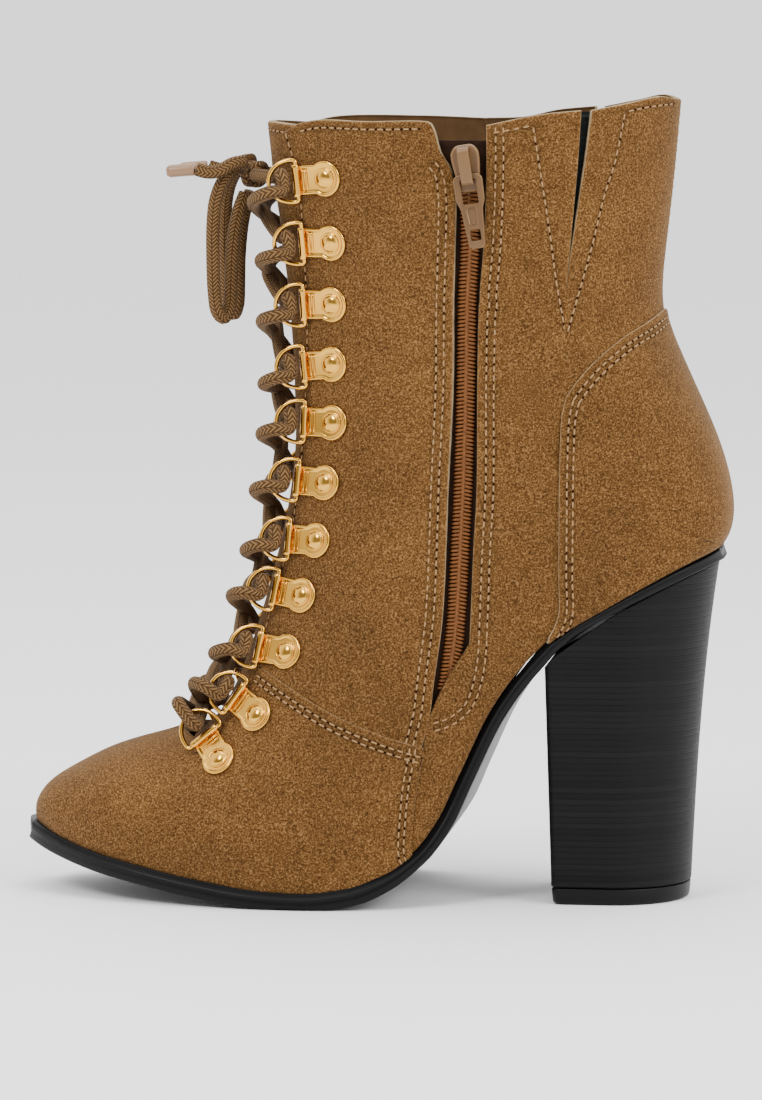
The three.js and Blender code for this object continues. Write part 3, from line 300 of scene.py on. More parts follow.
def smoothLine(points, count):
    # Centripetal Catmull-Rom through points: count samples evenly spaced by length, or a list of shares.
    points = np.asarray(points, float)
    if len(points) == 2:
        fine = points[0] + (points[1] - points[0]) * np.linspace(0, 1, 80)[:, None]
    else:
        ends = np.concatenate([[2 * points[0] - points[1]], points, [2 * points[-1] - points[-2]]])
        chord = np.maximum(1e-6, np.linalg.norm(np.diff(ends, axis=0), axis=1))
        knots = np.concatenate([[0], np.cumsum(chord ** 0.5)])
        fine = []
        for i in range(1, len(ends) - 2):
            t0, t1, t2, t3 = knots[i - 1:i + 3]
            t = np.linspace(t1, t2, 24, endpoint=i == len(ends) - 3)[:, None]
            p0, p1, p2, p3 = ends[i - 1:i + 3]
            a1 = (t1 - t) / (t1 - t0) * p0 + (t - t0) / (t1 - t0) * p1
            a2 = (t2 - t) / (t2 - t1) * p1 + (t - t1) / (t2 - t1) * p2
            a3 = (t3 - t) / (t3 - t2) * p2 + (t - t2) / (t3 - t2) * p3
            b1 = (t2 - t) / (t2 - t0) * a1 + (t - t0) / (t2 - t0) * a2
            b2 = (t3 - t) / (t3 - t1) * a2 + (t - t1) / (t3 - t1) * a3
            fine.append((t2 - t) / (t2 - t1) * b1 + (t - t1) / (t2 - t1) * b2)
        fine = np.concatenate(fine)
    length = lengthAlong(fine)
    want = length[-1] * (np.linspace(0, 1, count) if np.ndim(count) == 0 else np.asarray(count))
    return atLengths(want, length, fine)


domain = np.array([10.0, 95.0])  # rough millimetres for one row and for the whole of v


def edgeLine(marks, side, shares):
    # A line of marks as (row, place) pairs at the given shares of its length. Where all marks but the last
    # are side view points, the line is smooth in the side view and its ends keep their exact places.
    points = np.array([place(m, side) for m in marks])
    if len(marks) > 2 and all(not isinstance(m[0], str) for m in marks[:-1]):
        flat = lastPoint(points[:, 0], points[:, 1], side)[:, [0, 2]]
        seen = smoothLine(flat, 90)
        t, v = placeOn(seen[:, 0], seen[:, 1], side)
        inside = np.stack([t, v], -1)[1:-1]
        if isinstance(marks[-1][0], str):
            inside = inside[:-1]
        points = np.concatenate([points[:1], inside, points[-1:]])
    return smoothLine(points * domain, shares) / domain


def graded(width, spacing, fine=0.3):
    # Shares across a width with small steps at both edges, for rounded edges.
    first = np.array([0, fine, 2.2 * fine, 4 * fine])
    first = first[first < width * 0.3]
    count = max(3, int(round((width - 2 * first[-1]) / spacing)))
    middle = np.linspace(first[-1], width - first[-1], count + 1)
    return np.concatenate([first[:-1], middle, (width - first[:-1])[::-1]]) / width


def coons(left, right, top, bottom):
    # Grid of (row, place) from four edges: left and right run down, top and bottom run across.
    down, over = lengthAlong(left * domain), lengthAlong(top * domain)
    a = (down / down[-1])[:, None, None]
    b = (over / over[-1])[None, :, None]
    ruledA = (1 - b) * left[:, None] + b * right[:, None]
    ruledB = (1 - a) * top[None] + a * bottom[None]
    corners = ((1 - a) * (1 - b) * top[0] + (1 - a) * b * top[-1]
               + a * (1 - b) * bottom[0] + a * b * bottom[-1])
    return ruledA + ruledB - corners


# Meshes: every piece is a list of points in millimetres and a list of faces
def makePiece(name, verts, faces, materials, faceMaterial=None, replaces=(), rides=body,
              smooth=True, attributes=None):
    mesh = bpy.data.meshes.new(name)
    mesh.from_pydata((np.asarray(verts) * mm).tolist(), [], [list(map(int, f)) for f in faces])
    for material in materials:
        mesh.materials.append(material)
    if faceMaterial is not None:
        mesh.polygons.foreach_set("material_index", np.asarray(faceMaterial, np.int32))
    mesh.polygons.foreach_set("use_smooth", np.full(len(mesh.polygons), smooth))
    for key, values in (attributes or {}).items():
        layer = mesh.attributes.new(key, "FLOAT", "POINT")
        layer.data.foreach_set("value", np.asarray(values, np.float32))
    mesh.update()
    obj = bpy.data.objects.new(name, mesh)
    bpy.context.scene.collection.objects.link(obj)
    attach(obj, rides)
    if replaces:
        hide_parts(*replaces)
    return obj


def makeSolid(name, shape, material, nodeName, rides=body):
    verts, faces = shape
    return makePiece(name, verts, faces, [material], None, (nodeName,), rides)


def gridFaces(rows, columns, start=0, closed=False):
    i, j = np.meshgrid(np.arange(rows - 1), np.arange(columns if closed else columns - 1), indexing="ij")
    k = (j + 1) % columns
    here, below = i * columns, (i + 1) * columns
    return start + np.stack([here + j, here + k, below + k, below + j], -1).reshape(-1, 4)


def unit(vectors):
    return vectors / np.maximum(1e-9, np.linalg.norm(vectors, axis=-1, keepdims=True))


def nearest(points, targets, chunk=1500):
    # distance from each point to the nearest of the targets, and which one it is
    distance, index = np.empty(len(points)), np.empty(len(points), int)
    for i in range(0, len(points), chunk):
        d = ((points[i:i + chunk, None] - targets[None]) ** 2).sum(-1)
        index[i:i + chunk] = d.argmin(1)
        distance[i:i + chunk] = np.sqrt(d.min(1))
    return distance, index


def mergeGrids(grids):
    # one vertex list from grids of (points, normals, flags) that share their edges
    points = np.concatenate([g[0].reshape(-1, 3) for g in grids])
    normals = np.concatenate([g[1].reshape(-1, 3) for g in grids])
    flags = np.concatenate([g[2].reshape(-1) for g in grids])
    faces, start = [], 0
    for g in grids:
        rows, columns = g[0].shape[:2]
        quads = gridFaces(rows, columns, start)
        corner = points[quads]
        facing = np.cross(corner[:, 2] - corner[:, 0], corner[:, 3] - corner[:, 1])
        if (facing * normals[quads[:, 0]]).sum() < 0:
            quads = quads[:, ::-1]
        faces.append(quads)
        start += rows * columns
    faces = np.concatenate(faces)
    _, first, back = np.unique(np.round(points, 3), axis=0, return_index=True, return_inverse=True)
    back = back.reshape(-1)
    total = np.zeros((len(first), 3))
    np.add.at(total, back, normals)
    return points[first], unit(total), flags[first], back[faces]


def boundaryEdges(faces, count):
    a, b = faces.ravel(), np.roll(faces, -1, axis=1).ravel()
    keep = a != b
    a, b = a[keep], b[keep]
    forward, reverse = a * count + b, b * count + a
    free = ~np.isin(forward, reverse)
    return a[free], b[free]


rimRound = dict(depth=(0.1, 0.5, 0.9), swell=(0.10, 0.16, 0.10))


def closeSheet(points, normals, faces, thickness):
    # an outer sheet, the same sheet set in by its thickness, and a rounded rim between them; the faces'
    # kinds are 0 outside, 1 on the rim and 2 inside
    count = len(points)
    a, b = boundaryEdges(faces, count)
    tangent = np.zeros((count, 3))
    step = points[b] - points[a]
    np.add.at(tangent, a, step)
    np.add.at(tangent, b, step)
    rim = np.unique(np.concatenate([a, b]))
    away = unit(np.cross(unit(tangent[rim]), normals[rim]))
    thick = np.broadcast_to(thickness, (count,))[:, None]
    verts = [points, points - normals * thick]
    slot = np.full(count, -1)
    slot[rim] = np.arange(len(rim))
    loops = [np.arange(count)]
    for depth, swell in zip(rimRound["depth"], rimRound["swell"]):
        index = np.full(count, -1)
        index[rim] = sum(len(v) for v in verts) + np.arange(len(rim))
        verts.append(points[rim] - normals[rim] * thick[rim] * depth + away * swell)
        loops.append(index)
    loops.append(np.arange(count) + count)
    quads = [faces, faces[:, ::-1] + count]
    for one, two in zip(loops[:-1], loops[1:]):
        quads.append(np.stack([one[b], one[a], two[a], two[b]], -1))
    rimCount = len(a) * (len(loops) - 1)
    kinds = np.concatenate([np.zeros(len(faces)), np.full(len(faces), 2), np.ones(rimCount)]).astype(int)
    allFaces = np.concatenate(quads)
    cleaned, kept = [], []
    for f, kind in zip(allFaces.tolist(), kinds.tolist()):
        f = [p for i, p in enumerate(f) if p != f[i - 1]]
        if len(f) > 2:
            cleaned.append(f)
            kept.append(kind)
    verts = np.concatenate(verts)
    source = np.concatenate([np.arange(count), np.arange(count)] + [rim] * len(rimRound["depth"]))
    return verts, cleaned, kept, source


# Soft troughs and ridges where the boot has bent: place, turn, half lengths, height; all in millimetres
creases = [
    dict(x=62, z=118, side=inner, turn=62, long=26, wide=5.5, height=-0.45),
    dict(x=72, z=104, side=inner, turn=55, long=22, wide=5.0, height=0.35),
    dict(x=86, z=128, side=inner, turn=20, long=16, wide=4.5, height=-0.3),
    dict(x=18, z=132, side=inner, turn=-28, long=24, wide=6.5, height=-0.4),
    dict(x=6, z=150, side=inner, turn=-20, long=18, wide=6, height=0.35),
    dict(x=30, z=100, side=inner, turn=35, long=20, wide=6, height=0.3),
    dict(x=60, z=116, side=outer, turn=60, long=27, wide=6, height=-0.5),
    dict(x=74, z=100, side=outer, turn=52, long=22, wide=5.0, height=0.35),
    dict(x=16, z=134, side=outer, turn=-26, long=25, wide=6.5, height=-0.45),
    dict(x=40, z=150, side=outer, turn=4, long=24, wide=7, height=0.35),
    dict(x=100, z=30, side=inner, turn=70, long=15, wide=4, height=-0.25),
    dict(x=98, z=32, side=outer, turn=72, long=16, wide=4, height=-0.3),
]


def creaseRelief(points):
    # each crease is a Gaussian across its line and along it; a slow wave keeps long faces from being flat
    height = np.zeros(len(points))
    for c in creases:
        turn = math.radians(c["turn"])
        dx, dz = points[:, 0] - c["x"], points[:, 2] - c["z"]
        lengthwise = dx * math.cos(turn) + dz * math.sin(turn)
        across = -dx * math.sin(turn) + dz * math.cos(turn) + 0.01 * lengthwise ** 2
        near = np.clip(points[:, 1] * c["side"] / 8, 0, 1)
        height += near * c["height"] * np.exp(-(lengthwise / c["long"]) ** 2 - (across / c["wide"]) ** 2)
    x, y, z = points.T
    height += 0.16 * np.sin(x / 11 + 1.3) * np.sin(z / 13.0 + y / 17) + 0.08 * np.sin(x / 5.3 + z / 7.1)
    return height


panels = {}
panelEdge = dict(rounding=0.35, width=0.9)
seamTrough = dict(depth=0.17, width=0.75, samples=260, spacing=0.9)


def makePanel(name, grids, out, thickness, materials, replaces=(), rows=()):
    # grids are ((row, place) grid, side); rows of stitches are (marks, side, distances in from that line)
    built = []
    for tv, side in grids:
        t, v = tv[..., 0], np.clip(tv[..., 1], 0, 1)
        level = np.full(t.shape, float(out))
        flags = (v < 1e-4) & (t <= boot["heelRow"] + 1e-6)
        built.append((skin(t, v, side, level), lastNormal(t, v, side), flags))
    points, normals, sole, faces = mergeGrids(built)
    a, b = boundaryEdges(faces, len(points))
    edge = np.unique(np.concatenate([a, b]))
    raw = edge[~sole[edge]]
    edgeDistance, _ = nearest(points, points[raw])
    flat = points + normals * creaseRelief(points)[:, None]
    q = np.clip(edgeDistance / panelEdge["width"], 0, 1)
    shape = flat - normals * (panelEdge["rounding"] * (1 - np.sqrt(1 - (1 - q) ** 2)))[:, None]
    panels[name] = dict(points=shape.copy(), normals=normals, rows=[])
    centre = shape.mean(0)
    for marks, side, distances in rows:
        tv = edgeLine(marks, side, np.linspace(0, 1, seamTrough["samples"]))
        v = np.clip(tv[:, 1], 0, 1)
        edge = skin(tv[:, 0], v, side, np.full(seamTrough["samples"], float(out)))
        facing = lastNormal(tv[:, 0], v, side)
        for distance in distances:
            both = [insetLine(edge, facing, distance * way) for way in (1, -1)]
            near = [np.linalg.norm(line - centre, axis=1).mean() for line in both]
            inward = both[int(near[1] < near[0])]
            panels[name]["rows"].append(onPanel(name, evenly(inward, seamTrough["spacing"])))
    seamDistance = np.full(len(points), 9.0)
    if rows:
        seamDistance, _ = nearest(points, np.concatenate([line for line, _ in panels[name]["rows"]]))
        trough = seamTrough["depth"] * np.exp(-(seamDistance / seamTrough["width"]) ** 2)
        shape -= normals * trough[:, None]
    verts, allFaces, kinds, source = closeSheet(shape, normals, faces, thickness)
    return makePiece(name, verts, allFaces, materials, kinds, replaces,
                     attributes={"edgeDistance": edgeDistance[source], "seamDistance": seamDistance[source]})


def onPanel(name, line):
    # a line of points dropped onto a panel's outer face, with the face's normals
    data = panels[name]
    _, index = nearest(line, data["points"])
    normals = data["normals"][index]
    lifted = ((line - data["points"][index]) * normals).sum(-1, keepdims=True)
    return line - normals * lifted, normals


def insetLine(edge, normals, distance):
    # a line of points at a distance to the left of an edge, seen from outside
    tangent = unit(np.gradient(edge, axis=0))
    return edge + unit(np.cross(normals, tangent)) * distance


def evenly(line, spacing):
    length = lengthAlong(line)
    count = max(2, int(round(length[-1] / spacing)) + 1)
    return atLengths(np.linspace(0, length[-1], count), length, line)


def tubeAlong(line, radius, sides, guide=(0, 0, 1.0)):
    # a round tube carried along a line on frames that turn as little as possible, with closed ends
    tangent = unit(np.gradient(line, axis=0))
    current = unit(np.cross(np.cross(tangent[0], np.array(guide, float)), tangent[0]))
    aside = np.zeros_like(line)
    for i in range(len(line)):
        current = unit(current - tangent[i] * (current @ tangent[i]))
        aside[i] = current
    across = np.cross(tangent, aside)
    angle = np.linspace(0, 2 * np.pi, sides, endpoint=False)
    reach = np.broadcast_to(radius, (len(line),))[:, None]
    ring = (line[:, None] + aside[:, None] * (reach * np.cos(angle))[..., None]
            + across[:, None] * (reach * np.sin(angle))[..., None])
    faces = gridFaces(len(line), sides, closed=True)
    last = (len(line) - 1) * sides
    caps = [list(range(sides))[::-1], [last + k for k in range(sides)]]
    return ring.reshape(-1, 3), faces[:, ::-1].tolist() + [cap[::-1] for cap in caps]


def joinParts(parts):
    verts, faces, start = [], [], 0
    for v, f in parts:
        verts.append(v)
        faces += [[i + start for i in face] for face in f]
        start += len(v)
    return np.concatenate(verts), faces


def scatter(shape, frames, places):
    # copies of one small shape, each turned by a frame of three rows and moved to its place
    verts, faces = shape
    count = len(places)
    turned = np.einsum("vk,nkc->nvc", verts, frames) + places[:, None]
    start = np.arange(count)[:, None] * len(verts)
    made = []
    for size in sorted({len(f) for f in faces}):
        some = np.array([f for f in faces if len(f) == size])
        made += (some[None] + start[:, :, None]).reshape(-1, size).tolist()
    return turned.reshape(-1, 3), made


def loft(rings):
    # a closed solid from rings of points, each with the same count, facing out and capped at both ends
    count, sides = rings.shape[:2]
    verts = rings.reshape(-1, 3)
    faces = gridFaces(count, sides, closed=True).tolist()
    faces.append(list(range(sides))[::-1])
    faces.append([(count - 1) * sides + k for k in range(sides)])
    middle = verts.mean(0)
    a, b, c = (verts[[f[k] for f in faces if len(f) == 4]] - middle for k in (0, 1, 2))
    if (np.cross(a, b) * c).sum() < 0:
        faces = [f[::-1] for f in faces]
    return verts, faces


def sheetSolid(front, back):
    # a closed sheet from two grids with the same rows and columns
    rows, columns = front.shape[:2]
    verts = np.concatenate([front.reshape(-1, 3), back.reshape(-1, 3)])
    grid = gridFaces(rows, columns)
    a, b = boundaryEdges(grid, rows * columns)
    under = rows * columns
    faces = np.concatenate([grid, grid[:, ::-1] + under, np.stack([b, a, a + under, b + under], -1)])
    first = grid[len(grid) // 2]
    facing = np.cross(verts[first[2]] - verts[first[0]], verts[first[3]] - verts[first[1]])
    away = verts[first].mean(0) - verts[first + under].mean(0)
    if facing @ away < 0:
        faces = faces[:, ::-1]
    return verts, faces.tolist()


# Materials
def newMaterial(name):
    material = bpy.data.materials.new(name)
    material.use_nodes = True
    tree = material.node_tree
    return material, tree, tree.nodes["Principled BSDF"]


def node(tree, kind, inputs=None, **settings):
    made = tree.nodes.new(kind)
    for key, value in settings.items():
        setattr(made, key, value)
    for key, value in (inputs or {}).items():
        if hasattr(value, "is_linked"):
            tree.links.new(value, made.inputs[key])
        else:
            made.inputs[key].default_value = value
    return made


def rampNode(tree, source, stops):
    made = node(tree, "ShaderNodeValToRGB", {"Fac": source})
    ramp = made.color_ramp
    while len(ramp.elements) < len(stops):
        ramp.elements.new(0.5)
    for element, (at, color) in zip(ramp.elements, stops):
        element.position = at
        element.color = (*color, 1)
    return made.outputs["Color"]


def mixColor(tree, share, one, two, blend="MIX"):
    made = node(tree, "ShaderNodeMix", data_type="RGBA", blend_type=blend)
    for socket, value in ((made.inputs[0], share), (made.inputs[6], one), (made.inputs[7], two)):
        if hasattr(value, "is_linked"):
            tree.links.new(value, socket)
        else:
            socket.default_value = value
    return made.outputs[2]


def maths(tree, operation, *values):
    made = node(tree, "ShaderNodeMath", operation=operation)
    for i, value in enumerate(values):
        if hasattr(value, "is_linked"):
            tree.links.new(value, made.inputs[i])
        else:
            made.inputs[i].default_value = value
    return made.outputs[0]


def noiseNode(tree, vector, scale, detail=2.0, rough=0.5):
    made = node(tree, "ShaderNodeTexNoise",
                {"Vector": vector, "Scale": scale, "Detail": detail, "Roughness": rough})
    return made.outputs["Fac"]


def spread(tree, value, low, high, toLow=0.0, toHigh=1.0):
    # a value stretched from one range to another and held at both ends
    made = node(tree, "ShaderNodeMapRange", {"Value": value, "From Min": low, "From Max": high,
                                             "To Min": toLow, "To Max": toHigh})
    return made.outputs[0]


def darken(tree, color, shade):
    grey = node(tree, "ShaderNodeCombineColor", {"Red": shade, "Green": shade, "Blue": shade}).outputs[0]
    return mixColor(tree, 1.0, color, grey, "MULTIPLY")


def relief(tree, strength, distance, height):
    return node(tree, "ShaderNodeBump",
                {"Strength": strength, "Distance": distance, "Height": height}).outputs["Normal"]


def fromMiddle(tree, value):
    # how far a repeating value is from the middle of its step
    return maths(tree, "ABSOLUTE", maths(tree, "SUBTRACT", maths(tree, "FRACT", value), 0.5))


def objectPlace(tree, scale=(1, 1, 1)):
    place = node(tree, "ShaderNodeTexCoord").outputs["Object"]
    return node(tree, "ShaderNodeMapping", {"Vector": place, "Scale": scale}).outputs["Vector"]


# Nap: fine specks of light and dark hairs over slow patches, all on object coordinates in metres
def napGroup():
    tree = bpy.data.node_groups.new("nap", "ShaderNodeTree")
    for name, kind, way in (("Dark", "NodeSocketColor", "INPUT"), ("Middle", "NodeSocketColor", "INPUT"),
                            ("Light", "NodeSocketColor", "INPUT"), ("Relief", "NodeSocketFloat", "INPUT"),
                            ("Color", "NodeSocketColor", "OUTPUT"), ("Normal", "NodeSocketVector", "OUTPUT")):
        tree.interface.new_socket(name=name, in_out=way, socket_type=kind)
    given = tree.nodes.new("NodeGroupInput").outputs
    place = objectPlace(tree)
    specks = noiseNode(tree, place, 1950, 2.5, 0.6)
    hairs = noiseNode(tree, place, 3600, 2, 0.6)
    patches = noiseNode(tree, place, 75, 4, 0.6)
    clouds = noiseNode(tree, place, 17, 3, 0.5)
    low = spread(tree, specks, 0.27, 0.5)
    high = spread(tree, specks, 0.5, 0.74)
    color = mixColor(tree, low, given["Dark"], given["Middle"])
    color = mixColor(tree, high, color, given["Light"])
    shade = maths(tree, "MULTIPLY_ADD", hairs, 0.5, 0.74)
    shade = maths(tree, "MULTIPLY", shade, maths(tree, "MULTIPLY_ADD", patches, 0.55, 0.73))
    shade = maths(tree, "MULTIPLY", shade, maths(tree, "MULTIPLY_ADD", clouds, 0.8, 0.6))
    color = darken(tree, color, shade)
    height = maths(tree, "ADD", maths(tree, "MULTIPLY", specks, 0.7), maths(tree, "MULTIPLY", hairs, 0.3))
    bump = relief(tree, given["Relief"], 0.0004, height)
    out = tree.nodes.new("NodeGroupOutput")
    tree.links.new(color, out.inputs["Color"])
    tree.links.new(bump, out.inputs["Normal"])
    return tree


nap = napGroup()


def suedeMaterial(name, dark, middle, light, depth=0.55):
    material, tree, shader = newMaterial(name)
    fibre = node(tree, "ShaderNodeGroup", node_tree=nap)
    for key, value in (("Dark", dark), ("Middle", middle), ("Light", light)):
        fibre.inputs[key].default_value = (*value, 1)
    fibre.inputs["Relief"].default_value = depth
    # painted shade darkens the trough of a seam; paler along a worn edge
    seam = node(tree, "ShaderNodeAttribute", attribute_name="seamDistance").outputs["Fac"]
    edge = node(tree, "ShaderNodeAttribute", attribute_name="edgeDistance").outputs["Fac"]
    shade = maths(tree, "MULTIPLY", spread(tree, seam, 0.0, 1.3, 0.62), spread(tree, edge, 0.0, 0.7, 1.35))
    tree.links.new(darken(tree, fibre.outputs["Color"], shade), shader.inputs["Base Color"])
    tree.links.new(fibre.outputs["Normal"], shader.inputs["Normal"])
    shader.inputs["Roughness"].default_value = 0.95
    shader.inputs["Specular IOR Level"].default_value = 0.12
    shader.inputs["Sheen Weight"].default_value = 0.1
    shader.inputs["Sheen Roughness"].default_value = 0.45
    shader.inputs["Sheen Tint"].default_value = (0.9, 0.72, 0.5, 1)
    return material


def plainMaterial(name, color, roughness=0.5, metallic=0.0, bumpScale=0.0, bumpDepth=0.0002, bumpStrength=0.3,
                  stretch=(1, 1, 1), vary=0.0, specular=0.5, varyScale=300):
    material, tree, shader = newMaterial(name)
    shader.inputs["Base Color"].default_value = (*color, 1)
    shader.inputs["Roughness"].default_value = roughness
    shader.inputs["Metallic"].default_value = metallic
    shader.inputs["Specular IOR Level"].default_value = specular
    if bumpScale:
        place = objectPlace(tree, stretch)
        height = noiseNode(tree, place, bumpScale, 3)
        tree.links.new(relief(tree, bumpStrength, bumpDepth, height), shader.inputs["Normal"])
    if vary:
        mottle = noiseNode(tree, objectPlace(tree, stretch), varyScale, 3)
        low = tuple(c * (1 - vary) for c in color)
        high = tuple(min(1, c * (1 + vary)) for c in color)
        tree.links.new(rampNode(tree, mottle, [(0.3, low), (0.7, high)]), shader.inputs["Base Color"])
    return material


suede = suedeMaterial("tan suede", (0.020, 0.0075, 0.0018), (0.100, 0.0435, 0.0098), (0.27, 0.145, 0.054))
rawEdge = plainMaterial("raw suede edge", (0.26, 0.19, 0.11), 0.95, bumpScale=1500, vary=0.25, specular=0.1)
lining = plainMaterial("lining", (0.085, 0.045, 0.019), 0.9, bumpScale=900, vary=0.15, specular=0.1)
thread = plainMaterial("stitch thread", (0.30, 0.175, 0.078), 0.75, bumpScale=2500, specular=0.2)
# painted shade: near-black discs stand in for the dark inside of each needle hole
needleHoleShade = plainMaterial("needle hole shade", (0.012, 0.005, 0.002), 1.0, specular=0.0)
elastic = plainMaterial("black elastic", (0.004, 0.006, 0.005), 0.85, bumpScale=1500, vary=0.3, specular=0.2)
soleRubber = plainMaterial("black sole rubber", (0.0028, 0.0028, 0.003), 0.4, bumpScale=500, bumpDepth=0.0001,
                           bumpStrength=0.2, specular=0.16)
gold = plainMaterial("gold hardware", (0.74, 0.39, 0.06), 0.15, 1.0, bumpScale=350, bumpDepth=0.00004,
                     bumpStrength=0.12)
coilPlastic = plainMaterial("rust zip coil", (0.135, 0.046, 0.009), 0.5, vary=0.2, varyScale=900,
                            specular=0.25)
tapeCloth = plainMaterial("zip tape", (0.018, 0.008, 0.004), 0.9, bumpScale=1600, vary=0.3, specular=0.1)
agletFilm = plainMaterial("aglet film", (0.24, 0.135, 0.07), 0.25, specular=0.4)


# Heel: black stacked leather, a fine line at each layer with its own height and tone
def heelMaterial():
    material, tree, shader = newMaterial("stacked heel")
    place = objectPlace(tree)
    height = node(tree, "ShaderNodeSeparateXYZ", {"Vector": place}).outputs["Z"]
    wobble = maths(tree, "MULTIPLY", maths(tree, "SUBTRACT", noiseNode(tree, place, 30, 2), 0.5), 0.0009)
    layer = maths(tree, "DIVIDE", maths(tree, "ADD", height, wobble), 0.00178)
    line = spread(tree, fromMiddle(tree, layer), 0.34, 0.5)
    tone = node(tree, "ShaderNodeTexWhiteNoise", {"W": maths(tree, "FLOOR", layer)}, noise_dimensions="1D")
    fibre = noiseNode(tree, objectPlace(tree, (40, 40, 900)), 6, 3)
    layerTone = maths(tree, "MULTIPLY", tone.outputs["Value"], 0.45)
    mixed = maths(tree, "ADD", layerTone, maths(tree, "MULTIPLY", fibre, 0.6))
    color = rampNode(tree, mixed, [(0.2, (0.0016, 0.0016, 0.0017)), (0.85, (0.006, 0.0056, 0.0055))])
    color = mixColor(tree, line, color, (0.0009, 0.0009, 0.0009, 1))
    tree.links.new(color, shader.inputs["Base Color"])
    rough = maths(tree, "MULTIPLY_ADD", fibre, 0.3, 0.36)
    shader.inputs["Specular IOR Level"].default_value = 0.13
    tree.links.new(rough, shader.inputs["Roughness"])
    level = maths(tree, "SUBTRACT", maths(tree, "MULTIPLY", fibre, 0.25), line)
    tree.links.new(relief(tree, 0.55, 0.00018, level), shader.inputs["Normal"])
    return material


# Lace: tubular braid, drawn as a herringbone on the tube's own length and turn, with painted highlight on the
# strands and painted shade between them
braid = dict(ribs=4.0, pitch=1.15, slant=2.6)


def laceMaterial():
    material, tree, shader = newMaterial("braided lace")
    split = node(tree, "ShaderNodeSeparateXYZ", {"Vector": node(tree, "ShaderNodeTexCoord").outputs["UV"]})
    turn, length = split.outputs["X"], split.outputs["Y"]
    rise = fromMiddle(tree, maths(tree, "MULTIPLY", turn, braid["ribs"]))
    wave = maths(tree, "ADD", maths(tree, "MULTIPLY", length, 1 / braid["pitch"]),
                 maths(tree, "MULTIPLY", rise, braid["slant"]))
    strand = spread(tree, fromMiddle(tree, wave), 0.02, 0.4)
    rib = spread(tree, rise, 0.0, 0.07)
    raised = maths(tree, "MULTIPLY", strand, rib)
    specks = noiseNode(tree, objectPlace(tree), 2200, 2)
    mixed = maths(tree, "ADD", maths(tree, "MULTIPLY", raised, 0.75), maths(tree, "MULTIPLY", specks, 0.3))
    # painted highlight on the strands' raised crests and painted shade in the grooves between them, over
    # random specks
    color = rampNode(tree, mixed, [(0.05, (0.018, 0.0075, 0.002)), (0.5, (0.088, 0.042, 0.0125)),
                                   (0.95, (0.20, 0.112, 0.042))])
    tree.links.new(color, shader.inputs["Base Color"])
    tree.links.new(relief(tree, 0.8, 0.00035, raised), shader.inputs["Normal"])
    shader.inputs["Roughness"].default_value = 0.88
    shader.inputs["Specular IOR Level"].default_value = 0.15
    shader.inputs["Sheen Weight"].default_value = 0.04
    return material


# Slider: tan paint on metal, coloured lighter on its sharp edges and darker in its hollows by pointiness
def sliderMaterial():
    material, tree, shader = newMaterial("painted slider")
    sharpness = node(tree, "ShaderNodeNewGeometry").outputs["Pointiness"]
    color = rampNode(tree, sharpness, [(0.44, (0.022, 0.009, 0.003)), (0.505, (0.082, 0.035, 0.009)),
                                  (0.58, (0.30, 0.18, 0.08))])
    tree.links.new(color, shader.inputs["Base Color"])
    shader.inputs["Specular IOR Level"].default_value = 0.3
    shader.inputs["Roughness"].default_value = 0.3
    return material


heelStack = heelMaterial()
laceBraid = laceMaterial()
sliderPaint = sliderMaterial()
panelMaterials = [suede, rawEdge, lining]
print("materials ready")


# Upper: each suede panel between its own edges, given as shares of length and height
zipFront = [(0.398, 0.966), (0.388, 0.937), (0.375, 0.92), (0.369, 0.889), (0.37, 0.828), (0.373, 0.748),
            (0.374, 0.66), (0.38, 0.523), (0.382, 0.454), (0.387, 0.361), (0.399, 0.279), (0.404, 0.242)]
zipRear = [(0.324, 0.974), (0.324, 0.925), (0.328, 0.831), (0.335, 0.756), (0.338, 0.66), (0.338, 0.523),
           (0.342, 0.454), (0.346, 0.361), (0.349, 0.312), (0.356, 0.279), (0.364, 0.261), (0.382, 0.248),
           (0.404, 0.242)]
throatEdge = [(0.626, 0.962), (0.607, 0.903), (0.601, 0.828), (0.598, 0.75), (0.598, 0.674), (0.601, 0.601),
              (0.608, 0.527), (0.62, 0.454), (0.64, 0.391), (0.662, 0.317), (0.688, 0.256)]
slitFront = [(0.192, 0.992), (0.197, 0.927), (0.203, 0.866), (0.208, 0.818), (0.213, 0.763)]
slitRear = [(0.177, 0.992), (0.185, 0.937), (0.195, 0.878), (0.213, 0.763)]
sideSplit = [(0.213, 0.763), (0.22, 0.6), (0.23, 0.42), ("sole", 0.24)]
vampRear = [(0.652, 0.294), (0.608, 0.274), (0.563, 0.252), (0.526, 0.236), (0.484, 0.221), (0.434, 0.206),
            (0.412, 0.2)]
vampBack = [(0.412, 0.2), (0.415, 0.185), (0.422, 0.151), (0.426, 0.118), (0.43, 0.072), ("sole", 0.43)]
counterFront = [(0.211, 0.64), (0.217, 0.616), (0.22, 0.552), (0.221, 0.42), (0.222, 0.367), ("sole", 0.24)]
counterTop = [(0.211, 0.64), (0.194, 0.661), (0.175, 0.68), (0.136, 0.71), (0.099, 0.731), ("back", 0.742)]
outerZip = [(0.36, 0.976), (0.352, 0.92), (0.35, 0.83), (0.354, 0.75), (0.356, 0.66), (0.36, 0.523),
            (0.364, 0.454), (0.37, 0.361), (0.385, 0.28), (0.404, 0.225)]

# Rough spacing of each panel's grid
grain = dict(facing=1.15, quarter=1.35, counter=1.2)


def patch(side, left, right, top, bottom, spacing, width, height):
    # a panel's grid between its four edges; width and height are rough millimetres
    across, down = graded(width, spacing), graded(height, spacing)
    edges = [edgeLine(line, side, share) for line, share in
             ((left, down), (right, down), (top, across), (bottom, across))]
    return coons(*edges), side


